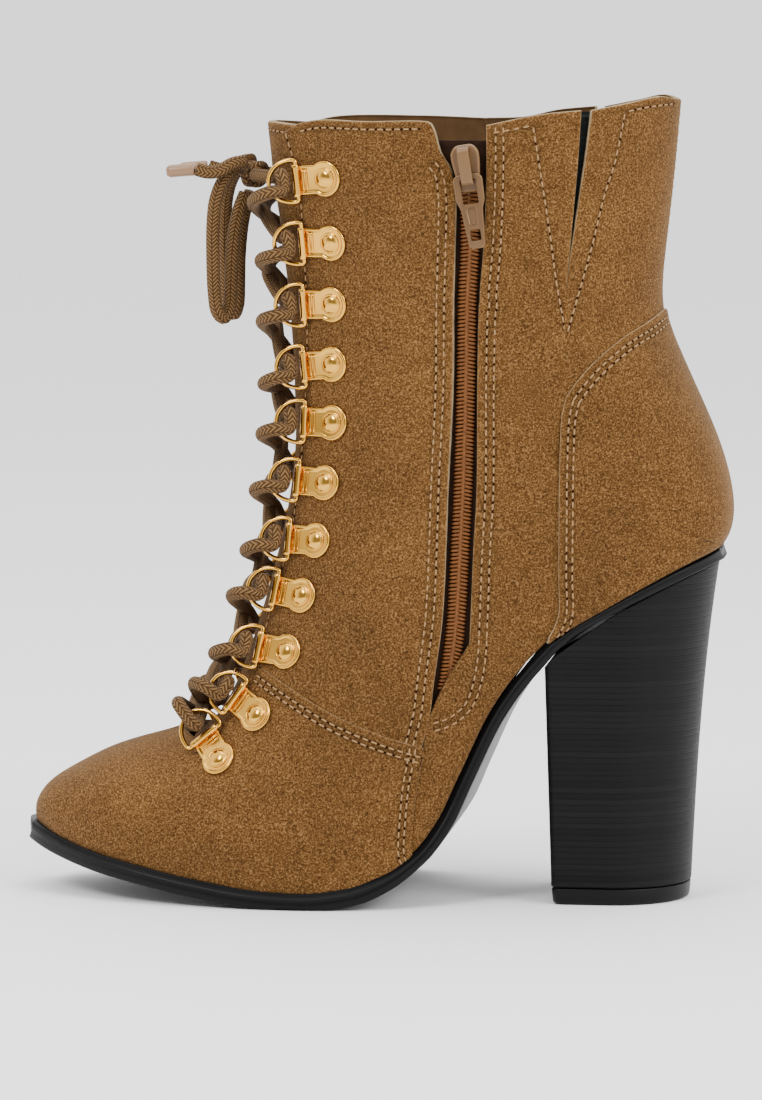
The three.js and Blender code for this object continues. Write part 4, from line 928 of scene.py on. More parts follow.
facingTop = [(0.626, 0.962), (0.6, 0.974), (0.57, 0.979), (0.5, 0.978), (0.42, 0.979), (0.405, 0.977),
             (0.398, 0.966)]
outerTop = [(0.626, 0.962), (0.6, 0.974), (0.57, 0.979), (0.45, 0.979), (0.36, 0.976)]


def facingPanel(side):
    back = zipFront if side == inner else outerZip
    top = facingTop if side == inner else outerTop
    right = back + [(0.42, 0.185)]
    left = throatEdge + [(0.70, 0.228)]
    bottom = [(0.70, 0.228), (0.62, 0.222), (0.52, 0.2), (0.42, 0.185)]
    return patch(side, left, right, top, bottom, grain["facing"], 52, 185)


rowsBeside = dict(zip=(2.6, 4.9), vamp=(2.6, 4.3), counter=(2.2, 4.0), throat=(1.9,), hem=(2.2,))
facingOut, facingThick = 0.35, 2.25
for side, word in bothSides:
    rear = zipFront[1:] + [(0.416, 0.2)] if side == inner else outerZip
    top = facingTop[1:-2] if side == inner else outerTop[1:-1] + [(0.385, 0.977)]
    rows = [(rear, side, rowsBeside["zip"]), (throatEdge, side, rowsBeside["throat"]),
            (top, side, rowsBeside["hem"])]
    makePanel("facing_" + word, [facingPanel(side)], facingOut, facingThick, panelMaterials, ("upper",), rows)
print("facings ready")

# Vamp: from the throat round the toe, both sides in one piece
vampOut, vampThick, vampAcross = 0.9, 2.8, 62
frontMarks = [("row", row, 1) for row in (boot["tipRow"], 0, 1, 2, 3, 4, 5, 5.6)]
frontMarks += [(0.737, 0.199), (0.72, 0.212), (0.688, 0.256), (0.672, 0.285), (0.652, 0.294)]
vampGrids = []
for side in (inner, outer):
    down = np.concatenate([np.linspace(0, 0.12, 22), np.linspace(0.12, 0.985, 118)[1:], [0.992, 0.997, 1]])
    across = np.linspace(0, 1, vampAcross)
    bottomLine = edgeLine([("sole", 0.43), ("sole", 0.6), ("sole", 0.8), ("sole", 0.95), ("row", 0, 0),
                           ("row", boot["tipRow"], 0)], side, down)
    upperLine = edgeLine(frontMarks[::-1], side, down)
    rearEdge = edgeLine(vampRear + vampBack[1:], side, across)
    tip = np.stack([np.full(vampAcross, float(boot["tipRow"])), 1 - across], -1)
    tv = coons(upperLine, bottomLine, rearEdge, tip)
    tv[..., 0] = np.clip(tv[..., 0], boot["tipRow"], topRow)
    vampGrids.append((tv, side))
makePanel("vamp", vampGrids, vampOut, vampThick, panelMaterials, ("upper",), rows=[
    (edge, side, rowsBeside["vamp"]) for side in (inner, outer) for edge in (vampRear, vampBack)])
print("vamp ready")

# Quarters: in front of the slit and behind it, joined up the back
vLeft = [(0.259, 0.974), (0.248, 0.912), (0.236, 0.842), (0.227, 0.783), (0.216, 0.731), (0.2135, 0.719)]
vRight = [(0.2105, 0.719), (0.206, 0.734), (0.189, 0.788), (0.176, 0.83), (0.16, 0.889), (0.146, 0.93),
          (0.133, 0.99)]
hemFront = [(0.317, 0.965), (0.29, 0.969), (0.262, 0.974)]
hemBack = [(0.13, 0.991), (0.101, 0.996), (0.069, 0.999)]
backSeam = [(0.059, 0.991), (0.066, 0.92), (0.075, 0.843), (0.079, 0.775)]
seatEdge = [("sole", 0.24), ("sole", 0.16), ("sole", 0.08), ("row", boot["heelRow"], 0)]
quarterGrids = []
quarterOut, quarterThick = -0.1, 1.8
for side, word in bothSides:
    zipEdge = zipRear if side == inner else outerZip
    left = zipEdge + vampBack
    right = slitFront + sideSplit[1:]
    top = [(0.324, 0.974)] if side == inner else [(0.36, 0.976), (0.3, 0.978)]
    top = top + [(0.25, 0.987), (0.192, 0.992)]
    bottom = [("sole", 0.43), ("sole", 0.36), ("sole", 0.3), ("sole", 0.24)]
    grid = patch(side, left, right, top, bottom, grain["quarter"], 36, 215)
    makePanel("quarter_" + word, [grid], quarterOut, quarterThick, panelMaterials, ("upper",), rows=[
        (zipEdge, side, rowsBeside["zip"]), (vLeft, side, (0,)), (hemFront, side, (0,))])
    left = slitRear + sideSplit[1:]
    right = [("back", share) for share in (1.004, 0.9, 0.8, 0.7, 0.6, 0.5)] + [("row", boot["heelRow"], 0)]
    top = [(0.177, 0.992), (0.125, 1.001), (0.083, 1.008), ("back", 1.004)]
    quarterGrids.append(patch(side, left, right, top, seatEdge, grain["quarter"], 62, 150))
makePanel("back_quarter", quarterGrids, quarterOut, quarterThick, panelMaterials, ("upper",), rows=[
    (line, side, (0,)) for side in (inner, outer) for line in (vRight, hemBack, backSeam)])
print("quarters ready")

# Counter: the raised panel round the heel, both sides in one piece
counterOut, counterThick = 0.9, 0.85
counterBack = [("back", 0.742), ("back", 0.66), ("back", 0.58), ("back", 0.5), ("row", boot["heelRow"], 0)]
counterGrids = [patch(side, counterFront, counterBack, counterTop, seatEdge, grain["counter"], 66, 98)
                for side in (inner, outer)]
makePanel("counter", counterGrids, counterOut, counterThick, panelMaterials, ("upper",), rows=[
    (edge, side, rowsBeside["counter"]) for side in (inner, outer) for edge in (counterFront, counterTop)])
print("counter ready")


# Tongue: inside the wall from under the vamp to above the facings
tongue = dict(foot=6.2, top=21.07, out=-2.7, thickness=2.2)
tongueEdge = columnCurve([6, 9, 12, 16, 20, 22], [0.72, 0.66, 0.6, 0.56, 0.53, 0.52])
tongueGrids = []
for side in (inner, outer):
    t = np.concatenate([np.linspace(tongue["foot"], 20.6, 130), np.linspace(20.6, tongue["top"], 9)[1:]])
    share = np.concatenate([[0, 0.01, 0.03, 0.06], np.linspace(0.1, 1, 26)])
    v = 1 - (1 - tongueEdge(t)[:, None]) * (1 - share)
    tongueGrids.append((np.stack([np.broadcast_to(t[:, None], v.shape), v], -1), side))
topV = [float(tongueEdge(tongue["top"])), 0.7, 0.85, 1.0]
makePanel("tongue_sheet", tongueGrids, tongue["out"], tongue["thickness"], panelMaterials, ("tongue",), rows=[
    ([("row", tongue["top"] - 0.24, v) for v in topV], side, (0,)) for side in (inner, outer)])
print("tongue ready")


# Outsole: one rubber unit, its edge in two bands with a bevel at each
sole = dict(fore=5.8, waist=4.6, seat=4.4, toeWelt=2.3, seatWelt=0.7, step=0.6, treadFlat=0.15)
soleDepth = columnCurve([0, 0.2, 0.27, 0.42, 0.5, 1],
                        [sole["seat"], sole["seat"] - 1, sole["waist"], sole["waist"],
                         sole["fore"], sole["fore"]])
soleWelt = columnCurve([0, 0.3, 0.45, 0.6, 1],
                       [sole["seatWelt"], sole["seatWelt"], 1.4, 1.9, sole["toeWelt"]])


def soleLevel(share, down):
    # place along the boot and height of the sole's line lowered by down along its normal
    welt = soleWelt(share)
    x = along(0) - welt + share * (boot["length"] + 2 * welt)
    slope = soleZ(x + 0.5) - soleZ(x - 0.5)
    length = np.hypot(1, slope)
    z = soleZ(x) - down / length
    return x + slope * down / length, np.where(z < sole["treadFlat"], 0, z), x, welt


def outsolePiece():
    share = 0.5 - 0.5 * np.cos(np.pi * np.linspace(0, 1, 260))
    depth = soleDepth(share)
    bands = [(boot["gap"], 0.45), (boot["gap"] + 0.35, 0.08), (boot["gap"] + 0.8, 0), (0.46, 0), (0.5, 0.08),
             (0.53, 0.42), (0.57, 0.62), (0.6, 0.62), (0.9, 0.75), (0.97, 0.95), (1.0, 1.4)]
    sides = {}
    for side in (inner, outer):
        rows = []
        for down, inset in bands:
            lowered = np.full(share.shape, down) if down > 1 or down < 0.4 else depth * down
            x, z, outlineX, welt = soleLevel(share, lowered)
            half = np.array([footprint(ox, side, -w) for ox, w in zip(outlineX, welt)])
            y = np.maximum(0.25, half - inset)
            rows.append(np.stack([x, side * y, z], -1))
        sides[side] = np.stack(rows, 1)
    across = np.linspace(-1, 1, 9)[1:-1]
    deep = sides[inner][:, -1]
    under = np.stack([deep * np.array([1, s, 1]) for s in -across], 1)
    high = sides[inner][:, 0]
    over = np.stack([high * np.array([1, s, 1]) for s in across], 1)
    rings = np.concatenate([sides[inner], under, sides[outer][:, ::-1], over], 1)
    makeSolid("outsole_unit", loft(rings), soleRubber, "outsole")


# Heel: a D seen from above, cut at its top to the sole; the corners of the breast are rounded
heel = dict(bottomLength=40, bottomHalf=23.5, topHalf=29, lean=3, corner=2.6, topPiece=4.8, setBack=0.4,
            flare=9.6, straight=0.5, curved=0.45, seatSlope=0.47)


def heelOutline(z, shrink=0.0):
    share = z / boot["heelRise"]
    curve = heel["straight"] * share + heel["curved"] * share ** 3
    back = -heel["bottomLength"] / 2 - heel["setBack"] - curve * heel["flare"] + shrink
    breast = heel["bottomLength"] / 2 - heel["setBack"] + heel["lean"] * share - shrink
    half = heel["bottomHalf"] + (heel["topHalf"] - heel["bottomHalf"]) * share - shrink
    return back, breast, half


heelTurns = np.concatenate([np.linspace(90, 270, 56), np.linspace(270, 360, 8), np.linspace(0, 90, 8)])
heelZones = np.repeat([0, 1, 2], [56, 8, 8])


def heelPoints(z, shrink=0.0):
    back, breast, half = heelOutline(z, shrink)
    turn = np.radians(heelTurns)
    r = heel["corner"]
    middle = np.choose(heelZones, [back + half, breast - r, breast - r])
    aside = np.choose(heelZones, [0 * half, -(half - r), half - r])
    radius = np.choose(heelZones, [half, r + 0 * half, r + 0 * half])
    return np.stack([middle + radius * np.cos(turn), aside + radius * np.sin(turn),
                     np.broadcast_to(z, heelTurns.shape)], -1)


seatShare = np.linspace(0, 0.34, 90)
seatX, seatZ, _, _ = soleLevel(seatShare, soleDepth(seatShare) + boot["gap"])


def underSeat(x):
    beyond = seatZ[0] + (seatX[0] - x) * heel["seatSlope"]
    return np.where(x < seatX[0], beyond, np.interp(x, seatX, seatZ))


def heelPieces():
    low = heel["topPiece"] + boot["gap"]
    top = np.full(heelTurns.shape, 95.0)
    for _ in range(12):
        top = underSeat(heelPoints(top)[:, 0])
    shares = np.concatenate([[0, 0.002, 0.006], np.linspace(0.012, 0.994, 70), [1]])
    shrinks = np.where(shares < 0.001, 0.35, np.where(shares < 0.004, 0.08, 0))
    rings = np.stack([heelPoints(low + s * (top - low), shrink) for s, shrink in zip(shares, shrinks)])
    makeSolid("heel_block", loft(rings), heelStack, "heel")
    levels = [(0, 1.1), (0.25, 0.6), (0.7, 0.35), (2.4, 0.2), (4.3, 0.1), (4.62, 0.16),
              (heel["topPiece"], 0.45)]
    rings = np.stack([heelPoints(np.full(heelTurns.shape, z), shrink) for z, shrink in levels])
    makeSolid("heel_top_piece", loft(rings), soleRubber, "top_piece")


def insolePiece():
    inset, low, thick = 2.5, boot["gap"], 2.0
    share = 0.5 - 0.5 * np.cos(np.pi * np.linspace(0, 1, 90))
    x = along(0) + inset + share * (boot["length"] - 2 * inset)
    half = {side: np.maximum(0.4, footprint(x, side, inset)) for side in (inner, outer)}
    across = np.sin(np.linspace(-1, 1, 25) * np.pi / 2)
    y = np.where(across > 0, half[inner][:, None] * across, half[outer][:, None] * across)
    level = np.broadcast_to(soleZ(x)[:, None], y.shape)
    base = np.stack([np.broadcast_to(x[:, None], y.shape), y, level], -1)
    edge = 1 - np.abs(across)
    crown = thick - 0.5 * np.exp(-(edge * 30)[None])
    over = base + np.stack([0 * y, 0 * y, low + crown + 0 * y], -1)
    makeSolid("insole_sheet", sheetSolid(over, base + np.array([0, 0, low])), lining, "insole")


outsolePiece()
heelPieces()
insolePiece()
print("sole and heel ready")


# Zip and elastic: strips behind the wall, beside a line of places
def onBoot(x, z, side, out):
    t, v = placeOn(np.ravel(x), np.ravel(z), side)
    made = skin(t, v, side, np.broadcast_to(out, np.shape(x)).ravel())
    return made.reshape(*np.shape(x), 3), lastNormal(t, v, side).reshape(*np.shape(x), 3)


def stripGrids(x, z, side, shifts, outside, thickness):
    gridX, gridZ = x[:, None] + shifts[None], np.broadcast_to(z[:, None], (len(z), len(shifts)))
    front, normals = onBoot(gridX, gridZ, side, outside)
    return front, front - normals * thickness


zipLine = dict(z=[0.967, 0.93, 0.83, 0.75, 0.66, 0.523, 0.454, 0.361, 0.29, 0.255],
               x=[0.361, 0.352, 0.349, 0.354, 0.356, 0.359, 0.362, 0.367, 0.376, 0.384],
               tapeWidth=17, tapeThick=0.8, coilHeight=1.7, pitch=1.15, bead=(0.5, 1.5, 0.85), beadLean=0.16,
               beadAside=1.42, beadOut=0.28, cordRadius=0.9)
gore = dict(top=0.985, foot=0.745, thick=0.9, half=8, rib=0.13, ribStep=2.5, samples=150, columns=17)
zipX = columnCurve([-z for z in zipLine["z"]], zipLine["x"])
wallIn = -(boot["wall"] + boot["liningGap"])


def zipPieces():
    z = np.linspace(0.955, 0.243, 120)
    x = along(zipX(-z))
    shifts = np.linspace(-0.5, 0.5, 18) * zipLine["tapeWidth"]
    weave = wallIn + 0.05 * np.cos(np.arange(18) * np.pi)[None] + np.zeros((120, 1))
    front, back = stripGrids(x, up(z), inner, shifts, weave, zipLine["tapeThick"])
    makeSolid("zip_tape_cloth", sheetSolid(front, back), tapeCloth, "zip_tape")
    fine = np.linspace(0.948, 0.272, 900)
    line, normals = onBoot(along(zipX(-fine)), up(fine), inner, wallIn + 0.35)
    length = lengthAlong(line)
    want = np.arange(0.6, length[-1] - 0.6, zipLine["pitch"])
    place = atLengths(want, length, line)
    normal = unit(atLengths(want, length, normals))
    downward = unit(np.gradient(place, axis=0))
    aside = unit(np.cross(downward, normal))
    turn, rise = np.meshgrid(np.linspace(0, 2 * np.pi, 9)[:-1], np.linspace(-0.5, 0.5, 6) * np.pi * 0.94,
                             indexing="ij")
    wide, long, deep = zipLine["bead"]
    bead = np.stack([wide * np.cos(turn) * np.cos(rise), long * np.sin(rise),
                     deep * np.sin(turn) * np.cos(rise)], -1).transpose(1, 0, 2)
    parts = []
    for way in (1, -1):
        lean = unit(aside + downward * zipLine["beadLean"] * way)
        frames = np.stack([downward, lean, normal], 1)
        beside = place + aside * zipLine["beadAside"] * way + normal * zipLine["beadOut"]
        places = beside + downward * (0.5 * zipLine["pitch"] if way > 0 else 0)
        parts.append(scatter(loft(bead), frames, places))
    cord = place + normal * -0.15
    parts.append(tubeAlong(cord, zipLine["cordRadius"], 8))
    makeSolid("zip_coil_beads", joinParts(parts), coilPlastic, "zip_coil")


def gorePieces():
    z = np.linspace(gore["top"], gore["foot"], gore["samples"])
    x = along(0.185 + (0.992 - z) * 0.11)
    rib = gore["rib"] * np.sin(np.arange(gore["samples"]) * np.pi / gore["ribStep"])[:, None]
    level = -(boot["wall"] + boot["goreGap"]) + rib + np.zeros((1, gore["columns"]))
    shifts = np.linspace(-gore["half"], gore["half"], gore["columns"])
    for side, word in bothSides:
        front, back = stripGrids(x, up(z), side, shifts, level, gore["thick"])
        makeSolid("gore_sheet_" + word, sheetSolid(front, back), elastic, "gore_" + word)


zipPieces()
gorePieces()
print("zip and elastic ready")


# Slider and pull: flat outlines with holes, thickened and bevelled, set in the slider's frame
def flatShape(outlines, thickness, bevel):
    curve = bpy.data.curves.new("outline", "CURVE")
    curve.dimensions = "2D"
    curve.fill_mode = "BOTH"
    curve.extrude = max(0.0001, thickness / 2 - bevel)
    curve.bevel_depth = bevel
    curve.bevel_resolution = 3
    curve.offset = -bevel
    for outline in outlines:
        spline = curve.splines.new("POLY")
        spline.points.add(len(outline) - 1)
        flat = np.asarray(outline, float)
        padded = np.concatenate([flat, np.zeros((len(flat), 1)), np.ones((len(flat), 1))], 1)
        spline.points.foreach_set("co", padded.ravel())
        spline.use_cyclic_u = True
    obj = bpy.data.objects.new("outline", curve)
    bpy.context.scene.collection.objects.link(obj)
    depsgraph = bpy.context.evaluated_depsgraph_get()
    mesh = bpy.data.meshes.new_from_object(obj.evaluated_get(depsgraph))
    verts = np.empty(len(mesh.vertices) * 3)
    mesh.vertices.foreach_get("co", verts)
    faces = [list(p.vertices) for p in mesh.polygons]
    bpy.data.objects.remove(obj)
    bpy.data.curves.remove(curve)
    bpy.data.meshes.remove(mesh)
    return verts.reshape(-1, 3), faces


def roundCorners(points, radius, steps=4):
    points = np.asarray(points, float)
    made = []
    for i, p in enumerate(points):
        before, after = points[i - 1] - p, points[(i + 1) % len(points)] - p
        reach = min(radius, np.linalg.norm(before) * 0.45, np.linalg.norm(after) * 0.45)
        a, b = p + unit(before) * reach, p + unit(after) * reach
        s = np.linspace(0, 1, steps + 1)[:, None]
        made.append((1 - s) ** 2 * a + 2 * s * (1 - s) * p + s * s * b)
    return np.concatenate(made)


slider = dict(length=14, width=8.4, thickness=2.2, bridgeLow=-4.6, bridgeHigh=6.4, bridgeLeg=1.2,
              bridgeClear=2.6, bridgeThick=1.2, bridgeWidth=3.4, place=(43.929, 34.186, 219.436),
              turn=((0.14624, 0.05896, 0.98749), (0.98924, -0.01205, -0.14578), (0.0033, 0.99819, -0.06009)))
pull = dict(length=22, topWidth=8.8, bottomWidth=4.8, thickness=1.4, bar=1.6, eyeLength=7.2, eyeWidth=4.6,
            shoulder=-9.4, slotTop=5.6, slotFoot=2.4, raisedThick=0.5, raisedOut=0.72)
sliderTurn = np.array(slider["turn"])


def inSlider(verts, offset=(0, 0, 0)):
    return (verts + np.array(offset)) @ sliderTurn + np.array(slider["place"])


def sliderPieces():
    half, tail = slider["width"] / 2, slider["width"] * 0.36
    top, foot = slider["length"] / 2, -slider["length"] / 2
    coilTop = boot["gap"] + wallIn + zipLine["coilHeight"]
    outline = [(top, -half * 0.6), (top - 2, -half), (top - 5, -half), (foot + 1, -tail), (foot, -tail * 0.7),
               (foot, tail * 0.7), (foot + 1, tail), (top - 5, half), (top - 2, half), (top, half * 0.6)]
    face = coilTop + boot["gap"] + slider["thickness"]
    plate = flatShape([roundCorners(outline, 1.2)], slider["thickness"], 0.75)
    parts = [(inSlider(plate[0], (0, 0, face - slider["thickness"] / 2)), plate[1])]
    under, over = face + slider["bridgeClear"], face + slider["bridgeClear"] + slider["bridgeThick"]
    low, high, leg = slider["bridgeLow"], slider["bridgeHigh"], slider["bridgeLeg"]
    arch = [(low, face - 0.5), (low, over - 0.9), (low + 0.9, over), (high - 0.9, over), (high, over - 0.9),
            (high, face - 0.5), (high - leg, face - 0.5), (high - leg, under), (low + leg, under),
            (low + leg, face - 0.5)]
    bridge = flatShape([roundCorners(arch, 0.4)], slider["bridgeWidth"], 0.3)
    turned = np.stack([bridge[0][:, 0], -bridge[0][:, 2], bridge[0][:, 1]], -1)
    parts.append((inSlider(turned), bridge[1]))
    makeSolid("zip_slider_body", joinParts(parts), sliderPaint, "zip_slider")
    return low + leg + boot["gap"] + pull["bar"] / 2, 0, face + slider["bridgeClear"] / 2


def pullPiece(hinge):
    # the tab with its eye and its slot, and a thin raised frame on its face
    top, foot = pull["bar"] / 2, pull["bar"] / 2 - pull["length"]
    wide, narrow = pull["topWidth"] / 2, pull["bottomWidth"] / 2
    half = [(top, wide * 0.7), (top - 1.2, wide), (-pull["eyeLength"], wide * 0.95),
            (pull["shoulder"], narrow * 1.35), (foot + 1, narrow), (foot, narrow * 0.7)]
    rim = [(x, -y) for x, y in half] + half[::-1]
    eyeTop, eyeSide, slotSide = top - pull["bar"], pull["eyeWidth"] / 2, narrow * 0.62
    eyeFoot = eyeTop - pull["eyeLength"]
    slotTop, slotFoot = foot + pull["slotTop"], foot + pull["slotFoot"]
    holes = [[(eyeTop, -eyeSide), (eyeTop, eyeSide), (eyeFoot, eyeSide), (eyeFoot, -eyeSide)],
             [(slotTop, -slotSide), (slotTop, slotSide), (slotFoot, slotSide), (slotFoot, -slotSide)]]
    outlines = [roundCorners(rim, 1.3)] + [roundCorners(hole, 0.7) for hole in holes]
    tab = flatShape(outlines, pull["thickness"], 0.35)
    parts = [(inSlider(tab[0], hinge), tab[1])]
    frameRim = np.array([(-9.2, -1.7), (-9.2, 1.7), (foot + 7.0, 1.25), (foot + 7.0, -1.25)])
    frameHole = frameRim * (0.97, 0.66) + np.array((-0.35, 0))
    raised = flatShape([roundCorners(frameRim, 0.8), roundCorners(frameHole, 0.5)], pull["raisedThick"], 0.12)
    parts.append((inSlider(raised[0], np.array(hinge) + (0, 0, pull["raisedOut"])), raised[1]))
    makeSolid("zip_pull_tab", joinParts(parts), sliderPaint, "zip_pull", "zip_pull")


pullPiece(sliderPieces())
print("slider ready")


# Lace rings: plate with a raised rim, a domed cap, a rolled barrel and a D of wire
ring = dict(count=11, plate=10.7, reach=9.4, barrel=1.15, barrelLength=9.7, height=13.6, depth=8.2,
            wire=0.62, lift=24, overFrom=9, creases=(6.1, 7.35), creaseRadius=0.34)
ringRows = [(0.558, 0.907, 0.6, 0.904), (0.551, 0.827, 0.593, 0.827), (0.551, 0.75, 0.59, 0.749),
            (0.551, 0.675, 0.59, 0.671), (0.55, 0.602, 0.594, 0.601), (0.56, 0.527, 0.6, 0.527),
            (0.572, 0.455, 0.612, 0.453), (0.592, 0.386, 0.632, 0.389), (0.613, 0.316, 0.654, 0.316),
            (0.652, 0.237, 0.679, 0.252), (0.705, 0.181, 0.725, 0.201)]


def insetOutline(points, distance):
    tangent = unit(np.roll(points, -1, 0) - np.roll(points, 1, 0))
    normal = np.stack([-tangent[:, 1], tangent[:, 0]], -1)
    return points + normal * distance


def lathe(profile, segments):
    turn = np.linspace(0, 2 * np.pi, segments, endpoint=False)
    radius, height = np.array(profile, float).T
    return np.stack([radius[:, None] * np.cos(turn), radius[:, None] * np.sin(turn),
                     height[:, None] + 0 * turn], -1)


def ringShape():
    half = ring["plate"] / 2
    flat = half * 0.82
    arc = np.linspace(0.96, 2 * np.pi - 0.96, 30)
    sides = np.linspace(ring["reach"], half * 0.6, 10)
    outline = np.concatenate([np.stack([sides, 0 * sides + flat], -1),
                              half * np.stack([np.cos(arc), np.sin(arc)], -1),
                              np.stack([sides[::-1], 0 * sides - flat], -1)])
    levels = [(0, 0.25), (0.15, 0.02), (0.55, 0.0), (0.82, 0.14), (0.92, 0.4), (0.92, 0.75), (0.8, 0.95),
              (0.66, 1.15), (0.64, 1.6)]
    plate = np.stack([np.concatenate([insetOutline(outline, d), np.full((len(outline), 1), z)], 1)
                      for z, d in levels])
    cap = lathe([(3.25, 0.5), (3.25, 0.9), (3.1, 1.05), (2.85, 1.08), (2.72, 0.96), (2.6, 1.12), (2.2, 1.42),
                 (1.6, 1.66), (0.9, 1.8), (0.25, 1.85)], 32)
    parts = [loft(plate), loft(cap)]
    for x in ring["creases"]:
        line = np.stack([np.full(9, x), np.linspace(-3.3, 3.3, 9), np.full(9, 0.72)], -1)
        parts.append(tubeAlong(line, ring["creaseRadius"] * np.array([0.4, 0.9, 1, 1, 1, 1, 1, 0.9, 0.4]), 8))
    long = ring["barrelLength"] / 2
    y = np.array([-1, -0.985, -0.95, -0.8, 0, 0.8, 0.95, 0.985, 1]) * long
    line = np.stack([np.full(9, ring["reach"]), y, np.full(9, ring["barrel"])], -1)
    parts.append(tubeAlong(line, ring["barrel"] * np.array([0.72, 0.9, 1, 1, 1, 1, 1, 0.9, 0.72]), 20))
    lift = math.radians(ring["lift"])
    reach, aside = np.array([(0, 0.55), (0, 0.95), (0.3, 1.0), (0.72, 0.78), (1, 0.28), (1, -0.28),
                             (0.72, -0.78), (0.3, -1.0), (0, -0.95), (0, -0.55)]).T
    wire = np.stack([ring["reach"] + reach * ring["depth"] * math.cos(lift),
                     aside * (ring["height"] / 2 - ring["wire"]),
                     ring["barrel"] + reach * ring["depth"] * math.sin(lift)], -1)
    parts.append(tubeAlong(smoothLine(wire, 70), ring["wire"] + 0.05, 12))
    return joinParts(parts)


def ringFrame(row, side, out):
    x, z = np.array([along(row[0]), along(row[2])]), np.array([up(row[1]), up(row[3])])
    place, _ = onBoot(x, z, side, out)
    t, v = placeOn([along(row[0])], [up(row[1])], side)
    normal = lastNormal(t, v, side)[0]
    forward = place[1] - place[0]
    forward = unit(forward - normal * (forward @ normal))
    return place[0], np.stack([forward, np.cross(normal, forward), normal])


ringVerts, ringFaces = ringShape()
ringFrames = {inner: [], outer: []}
for side, word in bothSides:
    for i, row in enumerate(ringRows):
        place, turn = ringFrame(row, side, boot["gap"] + (boot["step"] if i >= ring["overFrom"] else 0))
        ringFrames[side].append((place, turn))
        makeSolid(f"ring_{word}_{i + 1}", (ringVerts @ turn + place, ringFaces), gold,
                  f"dring_{word}_{i + 1}")
print("rings ready")


# Lace: down the boot in two halves that cross after each pair of rings
lace = dict(radius=2.05, proud=2.0, overWire=4.4, underWire=4.6, inHole=1, holeAside=2.1, turnAside=1.5,
            overlap=1, sides=16, step=0.7)
ringLift = math.radians(ring["lift"])


def inRing(side, i, share, out, aside):
    reach = ring["reach"] + share * ring["depth"] * math.cos(ringLift) - out * math.sin(ringLift)
    height = ring["barrel"] + share * ring["depth"] * math.sin(ringLift) + out * math.cos(ringLift)
    place, turn = ringFrames[side][i]
    return np.array([reach, side * aside, height]) @ turn + place


def overFront(x, z, out):
    t = np.arange(5, topRow, 0.02)
    p = lastPoint(t, np.ones(len(t)), inner)
    best = t[np.argmin(np.hypot(p[:, 0] - x, p[:, 2] - z))]
    return skin(np.array([best]), np.array([1.0]), inner, np.array([float(out)]))[0]


def laceRoute(topSide):
    # from beside the knot down to the last pair of rings, changing sides after each pair
    side = topSide
    besideKnot = topSide * (bow["knotSize"][1] / 2 + boot["gap"] * 1.5)
    points = [np.array([bow["knot"][0] - 1, besideKnot, bow["knot"][2]])]
    for i in range(ring["count"] - 1):
        points += [inRing(side, i, 0.85, -lace["underWire"], -lace["turnAside"]),
                   inRing(side, i, 0.5, lace["inHole"], -lace["holeAside"]),
                   inRing(side, i, 0.5, lace["overWire"] * 0.5, lace["holeAside"]),
                   inRing(side, i, 0.95, lace["overWire"], lace["turnAside"] + 1),
                   inRing(side, i, 1.5, lace["inHole"], lace["turnAside"] + 2.4)]
        middle = sum(inRing(s, j, 0.5, 0, 0) for s in (inner, outer) for j in (i, i + 1)) / 4
        proud = lace["proud"] + (0.9 if topSide == inner else -0.3)
        points.append(overFront(middle[0] + 8, middle[2], proud))
        side = -side
    last = ring["count"] - 1
    points += [inRing(side, last, 0.85, -lace["underWire"] * 0.8, -lace["turnAside"]),
               inRing(side, last, 0.5, lace["overWire"] * 0.6, 0),
               inRing(side, last, 1.35, lace["overWire"], 0)]
    middle = (inRing(inner, last, 0.5, 0, 0) + inRing(outer, last, 0.5, 0, 0)) / 2
    bar = overFront(middle[0] + 6, middle[2] + 1, lace["proud"] + 1)
    points.append(np.array([bar[0], -side * lace["overlap"], bar[2]]))
    return np.array(points)


def layBraid(obj, lines):
    # the braid reads the UV: turn round each tube and millimetres along it, with nothing on the end caps
    sides = lace["sides"]
    uvs = []
    for line in lines:
        length = lengthAlong(line)
        i, j = np.divmod(np.arange((len(line) - 1) * sides), sides)
        corner = np.stack([np.stack([(j + a) / sides, length[i + b]], -1)
                           for a, b in ((0, 1), (1, 1), (1, 0), (0, 0))], 1)
        uvs += [corner.reshape(-1, 2), np.zeros((2 * sides, 2))]
    layer = obj.data.uv_layers.new(name="lace")
    layer.data.foreach_set("uv", np.concatenate(uvs).astype(np.float32).ravel())


def lacePiece(name, line, nodeName, radius=lace["radius"], material=laceBraid):
    obj = makeSolid(name, tubeAlong(line, radius, lace["sides"]), material, nodeName)
    layBraid(obj, [line])
    return obj


def byStep(points, step):
    rough = smoothLine(points, 400)
    length = np.linalg.norm(np.diff(rough, axis=0), axis=1).sum()
    return smoothLine(points, max(12, int(length / step)))


for topSide, word in bothSides:
    lacePiece("lace_half_" + word, byStep(laceRoute(topSide), lace["step"]), "lace_crossings")
print("lace ready")


# Bow: a knot of three wraps, a hanging loop and a short end with its aglet on each side
def ellipseLine(centre, first, second, share=(0, 1), count=60):
    turn = 2 * np.pi * np.linspace(share[0], share[1], count)[:, None]
    return np.array(centre) + np.array(first) * np.cos(turn) + np.array(second) * np.sin(turn)


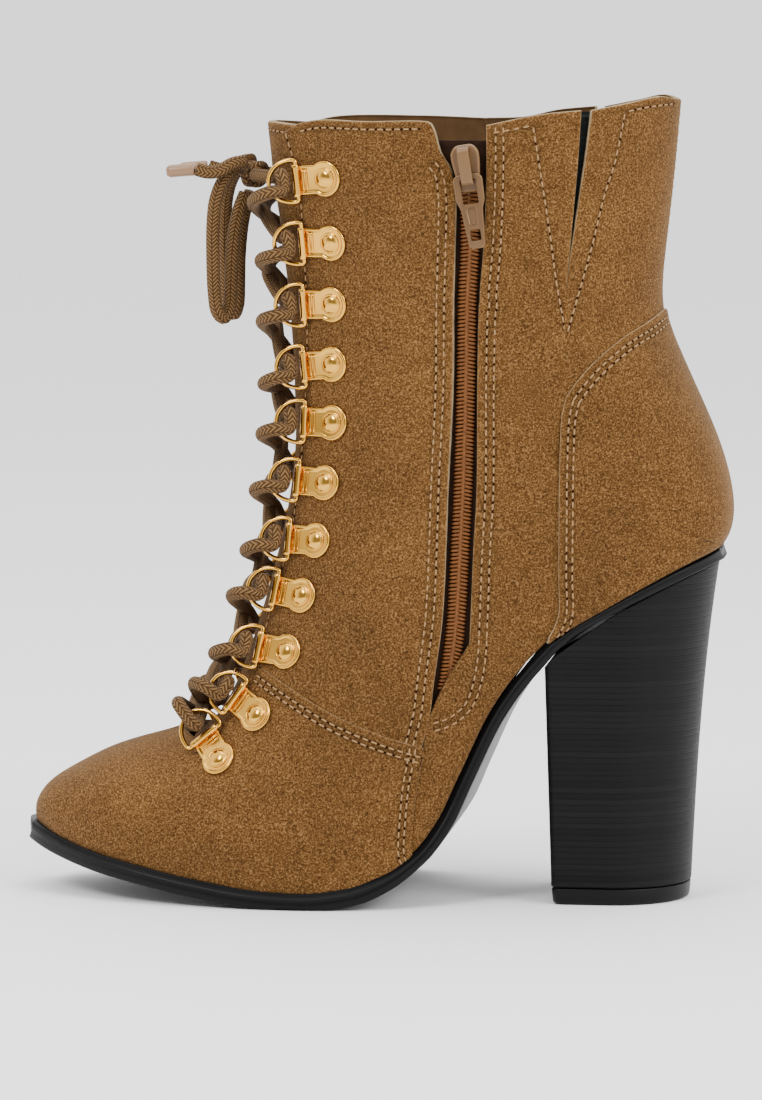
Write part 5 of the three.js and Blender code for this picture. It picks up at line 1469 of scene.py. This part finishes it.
def knotPiece():
    x, y, z = bow["knot"]
    wraps = [ellipseLine((x + 0.3, y, z), (2.35, 0, 0.4), (0, 0.9, 2.1), (0, 1)),
             ellipseLine((x, y + 0.2, z + 0.1), (0.6, 4.3, 0.5), (-1.9, 0, 2.0), (0.02, 0.98)),
             ellipseLine((x + 0.9, y - 0.2, z - 0.6), (0.3, 4.2, -0.9), (1.5, 0.3, 1.4), (0.0, 0.5))]
    parts = [tubeAlong(line, bow["wrapRadius"], lace["sides"], guide=(1, 0, 0.3)) for line in wraps]
    obj = makeSolid("bow_knot", joinParts(parts), laceBraid, "lace_knot")
    layBraid(obj, wraps)
    return obj


knot = knotPiece()
for side, word in bothSides:
    across = np.array((1, side, 1))
    # past the knot the loop's own lace goes on as the short free end, so end and aglet go with the loop
    endLine = byStep(np.array(bow["end"]) * across, lace["step"])
    end = lacePiece("bow_end_" + word, endLine, "lace_end_" + word)
    tip = byStep(np.array(bow["aglet"]) * across, 0.6)
    taper = bow["agletRadius"] * np.concatenate([[0.9, 1.0], np.ones(len(tip) - 5), [1.0, 0.93, 0.75]])
    aglet = lacePiece("aglet_film_" + word, tip, "aglet_" + word, taper, agletFilm)
    line = byStep(np.array(bow["loop"]) * across, lace["step"])
    obj = lacePiece("bow_loop_" + word, line, "lace_loop_" + word)
print("bow ready")


# Stitches: a short thread and a dark disc, painted shade for its needle hole, at each step of a row
stitch = dict(pitch=2.7, length=1.9, radius=0.26, hole=0.36, threadSunk=0.06, holeSunk=0.13)


def stitchPieces():
    turn = np.linspace(0, 2 * np.pi, 7)[:-1]
    run = np.array([-0.5, -0.42, -0.2, 0.2, 0.42, 0.5]) * stitch["length"]
    thin = np.array([0.35, 0.8, 1, 1, 0.8, 0.35]) * stitch["radius"]
    sink = np.array([-0.22, -0.08, 0, 0, -0.08, -0.22])
    threadRings = np.stack([np.stack([np.full(6, x), r * np.cos(turn), 0.75 * r * np.sin(turn) + s], -1)
                            for x, r, s in zip(run, thin, sink)])
    shape = loft(threadRings)
    disc = stitch["hole"] * np.stack([1.15 * np.cos(turn), np.sin(turn), 0 * turn], -1)
    holeShadeShape = loft(np.stack([disc + (0, 0, -0.25), disc + (0, 0, 0.03)]))
    threads, holes = [], []
    for panel in panels.values():
        for line, normals in panel["rows"]:
            length = lengthAlong(line)
            count = max(1, int(round(length[-1] / stitch["pitch"])))
            want = (np.arange(count) + 0.5) * length[-1] / count
            at = atLengths(want, length, line)
            normal = unit(atLengths(want, length, normals))
            ahead = atLengths(want + 0.4, length, line) - atLengths(want - 0.4, length, line)
            ahead = unit(ahead - normal * (ahead * normal).sum(-1, keepdims=True))
            frames = np.stack([ahead, np.cross(normal, ahead), normal], 1)
            threads.append(scatter(shape, frames, at - normal * stitch["threadSunk"]))
            # a dark disc between the threads is painted shade for the needle hole
            between = at - normal * stitch["holeSunk"] + ahead * stitch["pitch"] / 2
            holes.append(scatter(holeShadeShape, frames, between))
    verts, faces = joinParts(threads)
    makePiece("stitch_threads", verts, faces, [thread])
    verts, faces = joinParts(holes)
    makePiece("needle_hole_shades", verts, faces, [needleHoleShade], smooth=False)


stitchPieces()
print("stitches ready")


# Floor and lights: a pale studio with soft light from above, and two lamps on the inner side
studio = dict(floor=(0.93, 0.93, 0.93), floorHalf=60.0, floorDrop=0.0002, world=(0.95, 0.95, 0.955),
              worldStrength=2.0, cardWay=(0.42, 0.88, 0.22), cardShade=0.22, aim=(0.07, 0, 0.1))


def makeStage():
    mesh = bpy.data.meshes.new("floor")
    half = studio["floorHalf"]
    corners = [(-half, -half, 0), (half, -half, 0), (half, half, 0), (-half, half, 0)]
    mesh.from_pydata(corners, [], [(0, 1, 2, 3)])
    material, _, shader = newMaterial("pale floor")
    shader.inputs["Base Color"].default_value = (*studio["floor"], 1)
    shader.inputs["Roughness"].default_value = 0.9
    shader.inputs["Specular IOR Level"].default_value = 0.1
    mesh.materials.append(material)
    obj = bpy.data.objects.new("floor", mesh)
    obj.location.z = -studio["floorDrop"]
    bpy.context.scene.collection.objects.link(obj)


def areaLight(name, place, size, power):
    data = bpy.data.lights.new(name, "AREA")
    data.shape = "RECTANGLE"
    data.size, data.size_y = size
    data.energy = power
    obj = bpy.data.objects.new(name, data)
    bpy.context.scene.collection.objects.link(obj)
    place, aim = Vector(place), Vector(studio["aim"])
    obj.matrix_world = Matrix.Translation(place) @ (aim - place).to_track_quat("-Z", "Y").to_matrix().to_4x4()


def makeWorld():
    # pale all round, with one darker side in front of the boot for the metal to mirror
    world = bpy.data.worlds.new("studio")
    bpy.context.scene.world = world
    world.use_nodes = True
    tree = world.node_tree
    way = node(tree, "ShaderNodeTexCoord").outputs["Generated"]
    toward = node(tree, "ShaderNodeVectorMath", {0: way, 1: studio["cardWay"]}, operation="DOT_PRODUCT")
    card = spread(tree, toward.outputs["Value"], 0.62, 0.86, 1.0, studio["cardShade"])
    strength = maths(tree, "MULTIPLY", card, studio["worldStrength"])
    background = tree.nodes["Background"]
    background.inputs["Color"].default_value = (*studio["world"], 1)
    tree.links.new(strength, background.inputs["Strength"])


makeStage()
makeWorld()
areaLight("key", (0.75, 1.0, 1.15), (0.5, 0.5), 16)
areaLight("back", (-0.9, 0.6, 0.9), (0.5, 0.5), 8)
areaLight("top", (0.1, -0.1, 1.4), (1.2, 0.9), 8)
print("stage ready")
